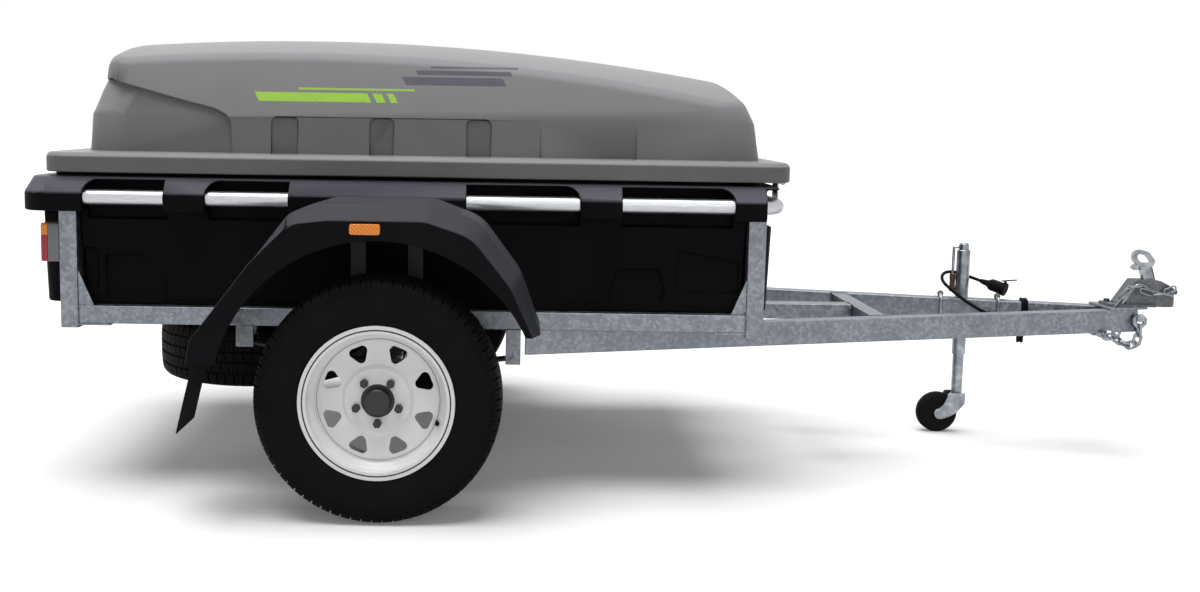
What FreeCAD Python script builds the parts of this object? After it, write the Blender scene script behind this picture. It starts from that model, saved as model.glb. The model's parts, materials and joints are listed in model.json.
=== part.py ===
import FreeCAD, Part
import math
import os

# Small luggage trailer: a moulded tub with a hinged moulded lid on a galvanised frame, two wheels on leaf
# springs, an A-frame drawbar with a ball coupling and a jockey wheel, and a spare wheel under the tail.
# Millimetres. X points forward along the drawbar, Y to the trailer's left and Z up.
# All sizes are measured from the ground under the middle of the axle; export() moves the finished pieces so
# that the origin lies on the ground at the middle of the overall length.

V = FreeCAD.Vector
ORIGIN = V(0, 0, 0)
FORWARD, SIDEWAYS, UP = V(1, 0, 0), V(0, 1, 0), V(0, 0, 1)
HALF_TURN, FULL_TURN = 180, 360
CUBIC_MM_PER_LITRE = 1e6

# General
overrun = 20.0                  # how far a cutting shape runs past the faces that it cuts
same_place = 1e-6               # points nearer than this are one
seat_gap = 0.3                  # clearance between pieces that seat on each other
running_gap = 0.1               # radial clearance of pins in their holes
steel_plate = 5.0               # brackets and gussets

# Road wheels
tyre_radius = 311.0
tyre_width = 186.0
tread_width = 152.0
tyre_facets = 40                # flats round each tyre; one of them lies on the ground
tread_drop = 15.0               # the shoulder lies this much nearer the axle than the middle of the tread
tyre_bulge_radius = 255.0       # where the sidewall stands out furthest
tyre_frame_gap = 82.0           # between the frame's outer faces and the tyres
flange_radius = 195.0
rim_width = 178.0               # over both flanges
rim_seat_radius = 178.0
rim_well_radius = 163.0
rim_sheet = 4.0
flange_sheet = 4.5
well_ramp = 12.0
well_outboard = 50.0            # the well's outboard end, from the middle of the rim
well_inboard = -7.0
disc_outboard = 43.0            # the disc's outer face, from the middle of the rim
disc_sheet = 5.0
disc_edge_drop = 6.0
disc_crown_radius = 82.0        # the raised middle of the disc
disc_crown_rise = 10.0
disc_crown_ramp = 9.0
disc_bore_radius = 42.0
window_count = 8
window_inner_radius = 90.0      # the point of each rounded triangle, from the axle
window_outer_radius = 143.0
window_base = 66.0              # width of the triangle at its outer side
window_corner = 12.0
stud_count = 5
stud_circle_radius = 56.0
stud_radius = 6.0
stud_hole_radius = 6.5
nut_across_corners = 22.0
nut_height = 16.0

# Hubs and axle
axle_section = 50.0
spindle_radius = 20.0
spindle_length = 118.0
hub_barrel_radius = 38.0
hub_barrel_length = 112.0
hub_flange_radius = 74.0
hub_flange_thickness = 9.0
hub_cap_radius = 33.0
hub_cap_length = 30.0
hub_cap_wall = 3.0

# Chassis frame
frame_half_width = 582.0        # outer faces of the side rails and posts
frame_rear_x = -869.0
frame_front_x = 1000.0
rail_width = 50.0
rail_height = 48.0
rail_top_z = 504.0
rail_wall = 3.0
post_section = 47.0
post_foot_drop = 12.0           # the posts reach this far below the rails
gusset_width = 40.0
gusset_height = 95.0
foot_reach = 84.0               # length of the flat plate at each post's foot, along the rail
cross_member_width = 50.0
cross_member_shares = [0.21, 0.44, 0.72]    # of the frame's length, from the rear

# Drawbar
drawbar_rear_x = 365.0
drawbar_nose_x = 2265.0
drawbar_nose_half = 50.0        # half the width over both rails at the nose
drawbar_rail_width = 50.0
drawbar_rail_height = 68.0
drawbar_wall = 4.0
brace_front_x = 1430.0          # front face of the cross brace
brace_width = 48.0
brace_height = 48.0
centre_brace_width = 60.0

# Coupling
coupling_front_x = 2404.0
nose_plate_rear_x = 2165.0
nose_plate_front_x = 2300.0
nose_plate_thickness = 8.0
nose_plate_margin = 4.0
coupling_base_length = 146.0
coupling_base_width = 88.0
coupling_base_thickness = 8.0
coupling_base_front_x = 2325.0
coupling_bolt_radius = 9.0
coupling_bolt_head = 8.0
ball_radius = 25.0
ball_gap = 0.3
ball_x = 2358.0
socket_depth = 17.0             # from the mouth of the socket up to the middle of the ball
head_radius = 36.0
housing_rear_x = 2205.0
housing_slope_length = 57.0
housing_height = 82.0
housing_rear_half = 26.0
housing_nose_drop = 30.0
housing_nose_length = 58.0
housing_corner = 9.0
nose_bolt_radius = 8.5
lever_ring_width = 73.0
lever_ring_height = 56.0
lever_ring_band = 14.0
lever_ring_corner = 14.0
lever_hole_corner = 2.0
lever_ring_shares = [(0.28, 0.04), (0.05, 0.35), (0.0, 0.62), (0.06, 0.92), (0.34, 1.0), (0.68, 0.88),
                     (1.0, 0.38), (0.88, 0.0)]    # the ring's outline, of its width and height
lever_thickness = 15.0
lever_rear_x = 2257.0
lever_rise = 38.0               # from the housing up to the ring
lever_stem_width = 32.0
lever_stem_thickness = 20.0
lever_stem_inset = 23.0         # from the ring's rear edge to the stem
lever_stem_lean = 15.0          # the stem's foot is this much further forward than its top
lever_thumb_radius = 9.0
cheek_sheet = 4.0
cheek_width = 40.0              # of the plate beside the lever, at its foot
cheek_top_width = 16.0
bail_radius = 3.2               # wire bail over the coupling's housing
bail_foot_inset = 8.0
bail_gap = 1.0                  # between the bail and the housing's wall

# Jockey wheel
jockey_x = 1806.0
jockey_standoff = 32.0          # from the drawbar's face to the middle of the tube
jockey_tube_radius = 21.2
jockey_tube_wall = 3.4
jockey_tube_bottom_z = 262.0
jockey_tube_top_z = 609.0
jockey_tube_shoulder = 5.0
jockey_cap_height = 22.0
jockey_cap_radius = 16.0
jockey_cap_round = 7.0
jockey_inner_wall = 4.0
jockey_inner_bottom_z = 126.0
jockey_inner_top_z = 460.0
jockey_stem_length = 45.0
jockey_wheel_radius = 66.0
jockey_wheel_width = 40.0
jockey_trail = 64.0
jockey_pin_radius = 6.0
jockey_hub_radius = 26.0
jockey_hub_overhang = 1.5
fork_sheet = 4.0
fork_gap = 3.0                  # between the wheel's hub and each cheek of the fork
fork_crown_height = 10.0
fork_eye_radius = 15.0
clamp_radius = 29.0
clamp_height = 44.0
clamp_top_z = 446.0
clamp_half_length = 30.0
clamp_plate_rear = 90.0
clamp_plate_front = 130.0
clamp_plate_thickness = 6.0
ubolt_radius = 5.0
ubolt_bend = 14.0               # bend radius of its middle line
ubolt_inset = 22.0              # from each end of the clamp's plate
ubolt_thread = 18.0             # the bolts' ends stand this far out of the plate
ubolt_nut_radius = 9.0
ubolt_nut_height = 8.0
crank_angle = 165               # degrees from straight ahead, towards the outside
crank_rod_radius = 4.5
crank_reach = 31.0
crank_drop = 88.0
crank_grip_radius = 8.0
crank_grip_length = 58.0

# Tub
tub_rear_x = -945.0
tub_front_x = 1033.0
tub_side_inset = 22.0           # between the posts, from the frame's outer faces
tub_post_clearance = 7.0        # beyond the posts, from their inner faces
tub_draft = 10.0                # the foot is this much further in than the top, all round
tub_corner = 55.0
tub_foot_corner = 40.0
tub_floor = 36.0
cavity_rear_x = -862.0
cavity_front_x = 955.0
tub_side_wall = 55.0
cavity_draft = 12.0
cavity_corner = 60.0
post_recess_gap = 3.0
bay_depth = 6.0                 # shallow bays pressed into the tub's sides
bay_corner = 9.0
bay_shares = [[(0.052, 0.18), (0.052, 0.60), (0.085, 0.60), (0.085, 0.18)],
              [(0.096, 0.06), (0.096, 0.53), (0.150, 0.54), (0.176, 0.32), (0.176, 0.06)],
              [(0.774, 0.12), (0.785, 0.45), (0.842, 0.46), (0.850, 0.22), (0.846, 0.12)],
              [(0.866, 0.22), (0.866, 0.67), (0.950, 0.55), (0.950, 0.22)]]   # of the tub's length and side height
rim_rear_x = -970.0
rim_front_x = 1061.0
rim_overhang = 23.0             # beyond the frame's outer faces
rim_bottom_z = 756.0
rim_top_z = 847.0
rim_bevel_z = 805.0
rim_bevel_inset = 26.0
rim_corner = 70.0
handrail_radius = 20.2
handrail_z = 793.0
handrail_inset = 25.0           # from the rim's outer face to the middle of the tube
handrail_bend = 72.0
handrail_rear_x = -850.0
rail_window_shares = [(0.084, 0.188), (0.242, 0.349), (0.579, 0.726), (0.781, 0.927)]
rail_window_top_z = 838.0
rail_window_depth = 64.0
rail_window_corner = 38.0
corner_window_start_x = 1008.0
front_window_share = 0.30       # half the width of the front's middle block, of the rim's half width
seal_width = 16.0
seal_height = 10.7
seal_inset = 40.0

# Lid
lid_rear_x = -914.0
lid_front_x = 1066.0
lid_side_inset = 17.0           # from the rim's outer faces
lid_flange_bottom_z = 858.0
lid_flange_height = 52.0
lid_flange_corner = 62.0
lid_flange_edge = 10.0
lid_wall_rear_x = -828.0
lid_wall_front_x = 996.0
lid_ledge_width = 42.0          # from the flange's side to the wall
lid_wall_corner = 100.0
lid_break_z = 1010.0            # where the steep lower wall meets the sloping upper wall
lid_break_inset = 14.0
lid_shoulder_z = 1190.0
lid_shoulder_inset = 92.0
lid_rear_shoulder_inset = 26.0  # the rear wall is steeper
lid_crown_z = 1236.0
lid_crown_x = -300.0
lid_roof_front_drop = 116.0
lid_roof_rear_drop = 24.0
lid_roof_half_chord = 450.0
lid_roof_side_drop = 55.0
lid_shoulder_round = 48.0
roof_tilt_limit = 35            # degrees from level, the roof's faces lie flatter than this
lid_wall = 6.0
lid_column_shares = [(0.281, 0.319), (0.424, 0.458), (0.565, 0.600)]
lid_column_top_z = 1008.0
lid_pocket_shares = (0.672, 0.812)
lid_pocket_top_z = 1044.0
lid_pocket_corner = 14.0
lid_step = 16.0                 # the lower rear corners lie this much further in
lid_step_rear_inset = 4.0
lid_step_rear_shoulder = 88.0   # how far its rear wall leans in, up to the shoulder's height
lid_step_run = 18.0             # width of the slope round the step
lid_step_corner = 40.0
lid_step_shares = [(-0.2, 0.60), (0.032, 0.60), (0.195, 0.36), (0.218, 0.29), (0.218, -0.2), (-0.2, -0.2)]

# Lid hinges and latch
hinge_x = 1077.0
hinge_z = 852.0
hinge_pin_radius = 4.0
hinge_knuckle_radius = 8.5
hinge_spacing = 720.0
hinge_leaf_width = 70.0
hinge_leaf_thickness = 4.0
hinge_leaf_height = 40.0
hinge_share = 0.36              # of the leaf's width, the lid's knuckle
latch_width = 90.0
latch_height = 46.0
latch_depth = 14.0
latch_handle_radius = 7.0
latch_handle_length = 64.0
latch_handle_gap = 6.0          # finger room between the plate and the handle
latch_boss_radius = 5.0

# Guards
guard_rim_gap = 23.0            # between the tub's rim and the guard
guard_width = 234.0
guard_bevel_width = 52.0
guard_bevel_drop = 44.0
guard_wall = 5.0
guard_angles = [168.4, 161.4, 132.0, 115.0, 104.6, 75.4, 61.0, 42.0, 23.1]
guard_radii = [475.0, 481.0, 466.0, 516.0, 513.0, 513.0, 516.0, 472.0, 439.0]
guard_corners_round = [0.0, 0.0, 70.0, 60.0, 60.0, 80.0, 110.0, 110.0, 0.0]
guard_bevel_shares = [0.0, 0.0, 0.05, 0.6, 1.0, 1.0, 0.9, 0.7, 0.4]    # of the bevel's drop, at each corner
guard_foot_overrun = 60.0       # the arch's outline runs on this far below the guard's feet
arch_radius = 405.0
guard_bracket_width = 40.0
guard_bracket_spacing = 150.0
guard_bracket_gap = 4.0         # between the tub's rim and the upright arms
guard_bracket_reach = 190.0
marker_length = 74.0
marker_height = 26.0
marker_depth = 12.0
marker_z = 745.0
marker_x = -26.0
flap_bottom_z = 231.0
flap_thickness = 4.0
flap_slant = 42.0               # the foot hangs this much further back than the top
flap_inner_inset = 62.0         # from the guard's inner edge
flap_outer_inset = 8.0

# Tail lamps
lamp_width = 96.0
lamp_top_z = 722.0
lamp_height = 102.0
lamp_housing_depth = 30.0
lamp_lens_depth = 18.0
lamp_amber_share = 0.31
lamp_corner = 6.0

# Springs
spring_width = 45.0
spring_leaf = 7.0
spring_leaf_shares = [1.0, 0.72, 0.44]
spring_rear_x = -381.0
spring_front_x = 334.0
spring_eye_z = 380.0
spring_slide_z = 418.0
spring_eye_radius = 14.0
spring_bolt_radius = 7.0
saddle_height = 8.0
hanger_front_width = 40.0
hanger_drop = 94.0
slipper_length = 46.0
slipper_drop = 56.0
ubolt_plate = 8.0
spring_plate_gap = 2.1          # over and under the spring, which tilts a little between the clamp's plates
spring_saddle_gap = 1.2
ubolt_span = 70.0

# Spare wheel
spare_x = -448.0
spare_z = 316.0
carrier_width = 60.0
carrier_thickness = 8.0
carrier_rod_radius = 10.0
carrier_plate_radius = 60.0

# Safety chains
chain_wire = 7.0
chain_link_length = 43.0
chain_link_width = 27.0
chain_link_bevel = 8.0
chain_overlap = 0.4             # linked links are welded where they touch
chain_side_gap = 15.0           # from the rail's outer face to the chain's middle
chain_headings = [-90, -104, -168, 158, 152, 150]     # degrees, each link's way on from the last
shackle_x = 2262.0
shackle_z = 424.0
shackle_radius = 23.0
shackle_bore = 13.0
shackle_thickness = 9.0
shackle_bolt_radius = 7.0
shackle_bolt_rise = 9.0         # the bolt is this much higher than the middle of the shackle
shackle_head_radius = 11.0
shackle_head_height = 6.0

# Lead
lead_diameter = 10.5
lead_bend_share = 0.45          # of the shorter run, that each arc takes
coil_turns = 3
coil_rear = 168.0               # from the jockey wheel's seat on the rail
coil_hang = 43.0                # the turns hang this far below the rail
coil_foot_half = 10.0
coil_taper = 36.0
coil_corner = 16.0
clip_radius = 9.0
clip_length = 26.0
lead_start_z = 400.0
lead_exit = 24.0                # straight back from the coil, before the route's own points
lead_route = [(1888.0, 80.5, 404.0), (1846.0, 88.0, 417.0), (1806.0, 102.0, 438.0), (1770.0, 120.0, 464.0),
              (1742.0, 146.0, 489.0), (1729.0, 177.0, 508.0), (1736.0, 208.0, 522.0), (1757.0, 235.0, 531.0),
              (1787.0, 250.0, 531.0), (1819.0, 248.0, 524.0), (1844.0, 231.0, 514.5), (1867.0, 211.0, 506.6)]
plug_tail_radius = 7.0
plug_tail_length = 24.0
plug_neck_radius = 11.0
plug_radius = 22.0
plug_shoulder = 12.0
plug_length = 86.0              # with its tail
plug_lip = 2.5
plug_cover_length = 44.0
plug_cover_sheet = 4.0
plug_cover_angle = 24           # degrees, the cover stands open

# Worked out from the sizes above
axle_z = tyre_radius
wheel_y = frame_half_width + tyre_frame_gap + tyre_width / 2
spring_y = frame_half_width - rail_width / 2
tub_half_width = frame_half_width - tub_side_inset
tub_end_half_width = frame_half_width - post_section - tub_post_clearance
cavity_half_width = tub_half_width - tub_side_wall
rim_half_width = frame_half_width + rim_overhang
lid_half_width = rim_half_width - lid_side_inset
lid_wall_half_width = lid_half_width - lid_ledge_width
guard_inner_y = rim_half_width + guard_rim_gap
guard_outer_y = guard_inner_y + guard_width
guard_bracket_y = rim_half_width + guard_bracket_gap
flap_inner_y = guard_inner_y + flap_inner_inset
flap_outer_y = guard_outer_y - flap_outer_inset
rail_bottom_z = rail_top_z - rail_height
tub_bottom_z = rail_top_z
drawbar_top_z = rail_bottom_z
drawbar_slope = (frame_half_width - drawbar_nose_half) / (drawbar_nose_x - drawbar_rear_x)
nose_plate_top_z = drawbar_top_z + nose_plate_thickness
coupling_base_top_z = nose_plate_top_z + coupling_base_thickness
socket_mouth_z = nose_plate_top_z
ball_z = socket_mouth_z + socket_depth
housing_top_z = nose_plate_top_z + housing_height
spring_seat_z = axle_z + axle_section / 2 + saddle_height
origin_x = (rim_rear_x + coupling_front_x) / 2


def drawbar_outer_y(x):
    """Distance of a drawbar rail's outer face from the middle, at a place along the trailer."""
    return frame_half_width - drawbar_slope * (x - drawbar_rear_x)


jockey_y = drawbar_outer_y(jockey_x) + jockey_standoff * math.hypot(1, drawbar_slope)


def outline(corners, radii=0):
    """Closed wire in the XY plane through the corners, each rounded by a tangent arc."""
    if not isinstance(radii, (list, tuple)):
        radii = [radii] * len(corners)
    arcs = []
    for i, radius in enumerate(radii):
        here = V(*corners[i])
        back = (V(*corners[i - 1]) - here).normalize()
        on = (V(*corners[(i + 1) % len(corners)]) - here).normalize()
        if radius <= 0:
            arcs.append((here, None, here))
            continue
        half = back.getAngle(on) / 2
        middle = (back + on).normalize()
        centre = here + middle * (radius / math.sin(half))
        reach = radius / math.tan(half)
        arcs.append((here + back * reach, centre - middle * radius, here + on * reach))
    edges = []
    for i, (start, middle, end) in enumerate(arcs):
        if middle is not None:
            edges.append(Part.Arc(start, middle, end).toShape())
        following = arcs[(i + 1) % len(arcs)][0]
        if end.distanceToPoint(following) > same_place:
            edges.append(Part.LineSegment(end, following).toShape())
    return Part.Wire(edges)


def inset(corners, distance):
    """The corners moved so that every side of the outline lies the distance further in."""
    pairs = list(zip(corners, corners[1:] + corners[:1]))
    turn = math.copysign(1, sum(a[0] * b[1] - b[0] * a[1] for a, b in pairs))
    normals = []
    for (x0, y0), (x1, y1) in pairs:
        length = math.hypot(x1 - x0, y1 - y0)
        normals.append((turn * (y0 - y1) / length, turn * (x1 - x0) / length))
    moved = []
    for i, (x, y) in enumerate(corners):
        (nx, ny), (mx, my) = normals[i - 1], normals[i]
        share = distance / (1 + nx * mx + ny * my)
        moved.append((x + (nx + mx) * share, y + (ny + my) * share))
    return moved


def rectangle(low_u, high_u, low_v, high_v):
    return [(low_u, low_v), (high_u, low_v), (high_u, high_v), (low_u, high_v)]


def level(wire, height):
    """A plan outline laid at a height."""
    return wire.translated(UP * height)


def prism_z(corners, low, high, radii=0):
    """Solid over a plan outline of (x, y) corners."""
    face = Part.Face(level(outline(corners, radii), low))
    return face.extrude(UP * (high - low))


def prism_y(corners, low, high, radii=0):
    """Solid over a side outline of (x, z) corners."""
    face = Part.Face(outline(corners, radii))
    face.rotate(ORIGIN, FORWARD, HALF_TURN / 2)
    face.translate(SIDEWAYS * low)
    return face.extrude(SIDEWAYS * (high - low))


def prism_x(corners, low, high, radii=0):
    """Solid over an end outline of (y, z) corners."""
    face = Part.Face(outline(corners, radii))
    face.rotate(ORIGIN, FORWARD, HALF_TURN / 2)
    face.rotate(ORIGIN, UP, HALF_TURN / 2)
    face.translate(FORWARD * low)
    return face.extrude(FORWARD * (high - low))


def box(low_x, high_x, low_y, high_y, low_z, high_z):
    return Part.makeBox(high_x - low_x, high_y - low_y, high_z - low_z, V(low_x, low_y, low_z))


def rod(radius, start, end):
    return Part.makeCylinder(radius, start.distanceToPoint(end), start, end - start)


def turned_y(profile):
    """Solid turned about the Y axis from a closed profile of (y, radius) points."""
    points = [V(0, y, radius) for y, radius in profile]
    face = Part.Face(Part.makePolygon(points + points[:1]))
    return face.revolve(ORIGIN, SIDEWAYS, FULL_TURN)


def faceted_ring(profile, facets):
    """Ring about the Y axis from a closed (y, radius) profile, with flats that touch the profile's radii."""
    step = 2 * math.pi / facets
    stretch = 1 / math.cos(step / 2)
    sections = []
    for i in range(facets):
        across, up = stretch * math.sin(step * (i + 0.5)), stretch * math.cos(step * (i + 0.5))
        sections.append([V(radius * across, y, radius * up) for y, radius in profile])
    faces = []
    for near, far in zip(sections, sections[1:] + sections[:1]):
        for k in range(len(profile)):
            corners = [near[k - 1], near[k], far[k], far[k - 1]]
            faces.append(Part.Face(Part.makePolygon(corners + corners[:1])))
    shell = Part.makeShell(faces)
    shell.sewShape()
    ring = Part.Solid(shell)
    return ring if ring.Volume > 0 else ring.reversed()


def route(points, share):
    """Straight runs joined by tangent arcs that take a share of the shorter run, and the arcs' radii."""
    edges, radii, last = [], [], points[0]
    for before, here, after in zip(points, points[1:], points[2:]):
        reach = share * min(before.distanceToPoint(here), here.distanceToPoint(after))
        back, on = (before - here).normalize(), (after - here).normalize()
        half_turn = (math.pi - back.getAngle(on)) / 2
        radius = reach / math.tan(half_turn)
        inward = (back + on).normalize()
        middle = here + inward * (radius / math.cos(half_turn) - radius)
        start, end = here + back * reach, here + on * reach
        edges += [Part.LineSegment(last, start).toShape(), Part.Arc(start, middle, end).toShape()]
        radii.append(radius)
        last = end
    return Part.Wire(edges + [Part.LineSegment(last, points[-1]).toShape()]), radii


def tube_along(points, radius, share):
    """Round bar or cord along a route, and the radii of its bends."""
    wire, radii = route(points, share)
    section = Part.Wire(Part.makeCircle(radius, points[0], points[1] - points[0]))
    return wire.makePipeShell([section], True, False), radii


def mirrored(shape):
    """The same piece on the trailer's other side."""
    return shape.mirror(ORIGIN, SIDEWAYS)


def both_sides(shape):
    return Part.makeCompound([shape, mirrored(shape)])


def fuse(shapes):
    return shapes[0].multiFuse(shapes[1:]).removeSplitter() if len(shapes) > 1 else shapes[0]


def cut(shape, tools):
    return shape.cut(Part.makeCompound(tools))


def export(name, shape):
    moved = shape.translated(FORWARD * -origin_x)
    moved.exportStep("parts/" + name + ".step")
    around = moved.BoundBox
    print(f"{name}: {len(shape.Solids)} solids, x {around.XMin:.1f} to {around.XMax:.1f}, "
          f"y {around.YMin:.1f} to {around.YMax:.1f}, z {around.ZMin:.1f} to {around.ZMax:.1f}, "
          f"{shape.Volume / CUBIC_MM_PER_LITRE:.3f} litres, valid {shape.isValid()}")


# Chassis frame

def side_rail():
    """Left side rail, a rectangular tube between the corner posts."""
    low_x, high_x = frame_rear_x + post_section, frame_front_x - post_section
    low_y = frame_half_width - rail_width
    tube = box(low_x, high_x, low_y, frame_half_width, rail_bottom_z, rail_top_z)
    bore = box(low_x - overrun, high_x + overrun, low_y + rail_wall, frame_half_width - rail_wall,
               rail_bottom_z + rail_wall, rail_top_z - rail_wall)
    return tube.cut(bore)


def cross_member(low_x, width, half_length):
    """Rectangular tube across the frame."""
    tube = box(low_x, low_x + width, -half_length, half_length, rail_bottom_z, rail_top_z)
    bore = box(low_x + rail_wall, low_x + width - rail_wall, -half_length - overrun, half_length + overrun,
               rail_bottom_z + rail_wall, rail_top_z - rail_wall)
    return tube.cut(bore)


def cross_members():
    """Cross members between the posts at both ends, and three between the side rails."""
    end_half = frame_half_width - post_section
    middle_half = frame_half_width - rail_width
    length = frame_front_x - frame_rear_x
    members = [cross_member(frame_rear_x, post_section, end_half),
               cross_member(frame_front_x - post_section, post_section, end_half)]
    for share in cross_member_shares:
        members.append(cross_member(frame_rear_x + share * length, cross_member_width, middle_half))
    return Part.makeCompound(members)


def corner_post(inward):
    """Left corner post at the rear (inward 1) or front (inward -1), with its gusset and foot plate."""
    outer_x = frame_rear_x if inward > 0 else frame_front_x
    inner_x = outer_x + inward * post_section
    low_y = frame_half_width - post_section
    foot_z = rail_bottom_z - post_foot_drop
    side = rectangle(min(outer_x, inner_x), max(outer_x, inner_x), low_y, frame_half_width)
    post = prism_z(side, foot_z, rim_bottom_z, rail_wall)
    gusset_y = frame_half_width - 2 * steel_plate
    gusset = prism_y([(inner_x, rail_top_z), (inner_x + inward * gusset_width, rail_top_z),
                      (inner_x, rail_top_z + gusset_height)], gusset_y, gusset_y + steel_plate)
    plate_end = inner_x + inward * foot_reach
    plate = box(min(inner_x, plate_end), max(inner_x, plate_end), low_y, frame_half_width,
                rail_bottom_z - steel_plate, rail_bottom_z)
    return fuse([post, gusset, plate])


def corner_posts():
    rear, front = corner_post(1), corner_post(-1)
    return Part.makeCompound([rear, front, mirrored(rear), mirrored(front)])


# Drawbar

def drawbar_rail_blank(margin=0, rear_x=drawbar_rear_x, nose_x=drawbar_nose_x):
    """Bar inside the left rail's outline, smaller by a margin all round."""
    stretch = math.hypot(1, drawbar_slope)
    plan_width, side = drawbar_rail_width * stretch, margin * stretch
    corners = [(x, drawbar_outer_y(x) - offset) for x, offset in [(rear_x, side), (rear_x, plan_width - side),
                                                                 (nose_x, plan_width - side), (nose_x, side)]]
    return prism_z(corners, drawbar_top_z - drawbar_rail_height + margin, drawbar_top_z - margin)


def drawbar_rail():
    """Left rail of the A-frame, a rectangular tube under the side rail that runs in to the nose."""
    bottom_z = drawbar_top_z - drawbar_rail_height
    whole = drawbar_rail_blank()
    bore = drawbar_rail_blank(drawbar_wall, drawbar_rear_x - overrun, nose_plate_rear_x)
    left_side = box(drawbar_rear_x, drawbar_nose_x, 0, frame_half_width, bottom_z, drawbar_top_z)
    return whole.cut(bore).common(left_side)


def drawbar_cross_brace():
    """Cross brace between the two rails."""
    plan_width = drawbar_rail_width * math.hypot(1, drawbar_slope)
    inner = [(x, drawbar_outer_y(x) - plan_width) for x in (brace_front_x - brace_width, brace_front_x)]
    corners = inner + [(x, -y) for x, y in reversed(inner)]
    return prism_z(corners, drawbar_top_z - brace_height, drawbar_top_z)


def drawbar_centre_brace():
    """Centre brace that runs back from the cross brace to the frame's front member."""
    half = centre_brace_width / 2
    return box(frame_front_x - post_section, brace_front_x - brace_width, -half, half,
               drawbar_top_z - brace_height, drawbar_top_z)


def nose_plate():
    """Plate across the drawbar's nose that carries the coupling."""
    margin = nose_plate_margin * math.hypot(1, drawbar_slope)
    left = [(x, drawbar_outer_y(x) - margin) for x in (nose_plate_rear_x, nose_plate_front_x)]
    corners = left + [(x, -y) for x, y in reversed(left)]
    return prism_z(corners, drawbar_top_z, nose_plate_top_z)


# Coupling

def coupling_body():
    """Pressed ball coupling: bolted foot, sloping housing and round head with the socket below."""
    half = coupling_base_width / 2
    low_x = coupling_base_front_x - coupling_base_length
    foot = prism_z(rectangle(low_x, coupling_base_front_x, -half, half), nose_plate_top_z,
                   coupling_base_top_z, housing_corner)
    nose_x = ball_x + head_radius
    side = [(housing_rear_x, nose_plate_top_z), (nose_x, nose_plate_top_z),
            (nose_x, housing_top_z - housing_nose_drop), (nose_x - housing_nose_length, housing_top_z),
            (housing_rear_x + housing_slope_length, housing_top_z)]
    profile = prism_y(side, -head_radius, head_radius, [0, 0, housing_corner, housing_corner, housing_corner])
    plan = prism_z([(housing_rear_x, -housing_rear_half), (ball_x, -head_radius), (ball_x, head_radius),
                    (housing_rear_x, housing_rear_half)], nose_plate_top_z, housing_top_z)
    head = rod(head_radius, V(ball_x, 0, nose_plate_top_z), V(ball_x, 0, housing_top_z))
    housing = profile.common(plan.fuse(head))
    bolts = []
    for bolt_x in (low_x + half / 2, low_x + coupling_base_length - 2 * half):
        for side_y in (-half + coupling_bolt_radius + steel_plate, half - coupling_bolt_radius - steel_plate):
            bolts.append(rod(coupling_bolt_radius, V(bolt_x, side_y, nose_plate_top_z),
                             V(bolt_x, side_y, coupling_base_top_z + coupling_bolt_head)))
    nose_bolt_z = housing_top_z - housing_nose_drop - nose_bolt_radius
    nose_bolt = rod(nose_bolt_radius, V(ball_x, 0, nose_bolt_z), V(coupling_front_x, 0, nose_bolt_z))
    whole = fuse([foot, housing, nose_bolt, coupling_cheek()] + bolts)
    radius = ball_radius + ball_gap
    mouth = rod(radius, V(ball_x, 0, socket_mouth_z - overrun), V(ball_x, 0, ball_z))
    ball_room = Part.makeSphere(radius, V(ball_x, 0, ball_z))
    return cut(whole, [mouth.fuse(ball_room)])


def lever_ring_corners():
    ring_z = housing_top_z + lever_rise
    return [(lever_rear_x + u * lever_ring_width, ring_z + v * lever_ring_height) for u, v in lever_ring_shares]


def coupling_cheek():
    """Plate on the housing's far side that carries the lever's pivot."""
    front_x = lever_rear_x + lever_stem_inset + lever_stem_lean + lever_stem_width + cheek_top_width
    corners = [(front_x - cheek_width, housing_top_z - housing_corner), (front_x, housing_top_z - housing_corner),
               (front_x - cheek_top_width / 2, housing_top_z + lever_rise / 2),
               (front_x - cheek_top_width, housing_top_z + lever_rise + lever_ring_band / 2),
               (front_x - 2 * cheek_top_width, housing_top_z + lever_rise + lever_ring_band / 2)]
    low_y = lever_stem_thickness / 2
    return prism_y(corners, low_y, low_y + cheek_sheet)


def coupling_lever():
    """Release lever, raised: a broad stem that leans back to a D-shaped finger ring, and a thumb catch."""
    corners = lever_ring_corners()
    half, stem_half = lever_thickness / 2, lever_stem_thickness / 2
    ring = prism_y(corners, -half, half, lever_ring_corner)
    hole = prism_y(inset(corners, lever_ring_band), -overrun, overrun, lever_hole_corner)
    top_z = housing_top_z + lever_rise + lever_ring_band / 2
    top_x = lever_rear_x + lever_stem_inset
    foot_x = top_x + lever_stem_lean
    stem = prism_y([(foot_x, housing_top_z), (foot_x + lever_stem_width, housing_top_z),
                    (top_x + lever_stem_width, top_z), (top_x, top_z)], -stem_half, stem_half)
    thumb_x, thumb_z = lever_rear_x + lever_thumb_radius, housing_top_z + lever_rise
    thumb = rod(lever_thumb_radius, V(thumb_x, -half, thumb_z), V(thumb_x, half, thumb_z))
    web = box(thumb_x, top_x + lever_stem_width / 2, -half / 2, half / 2, thumb_z - lever_thumb_radius, thumb_z)
    return fuse([ring, stem, thumb, web]).cut(hole)


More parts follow.
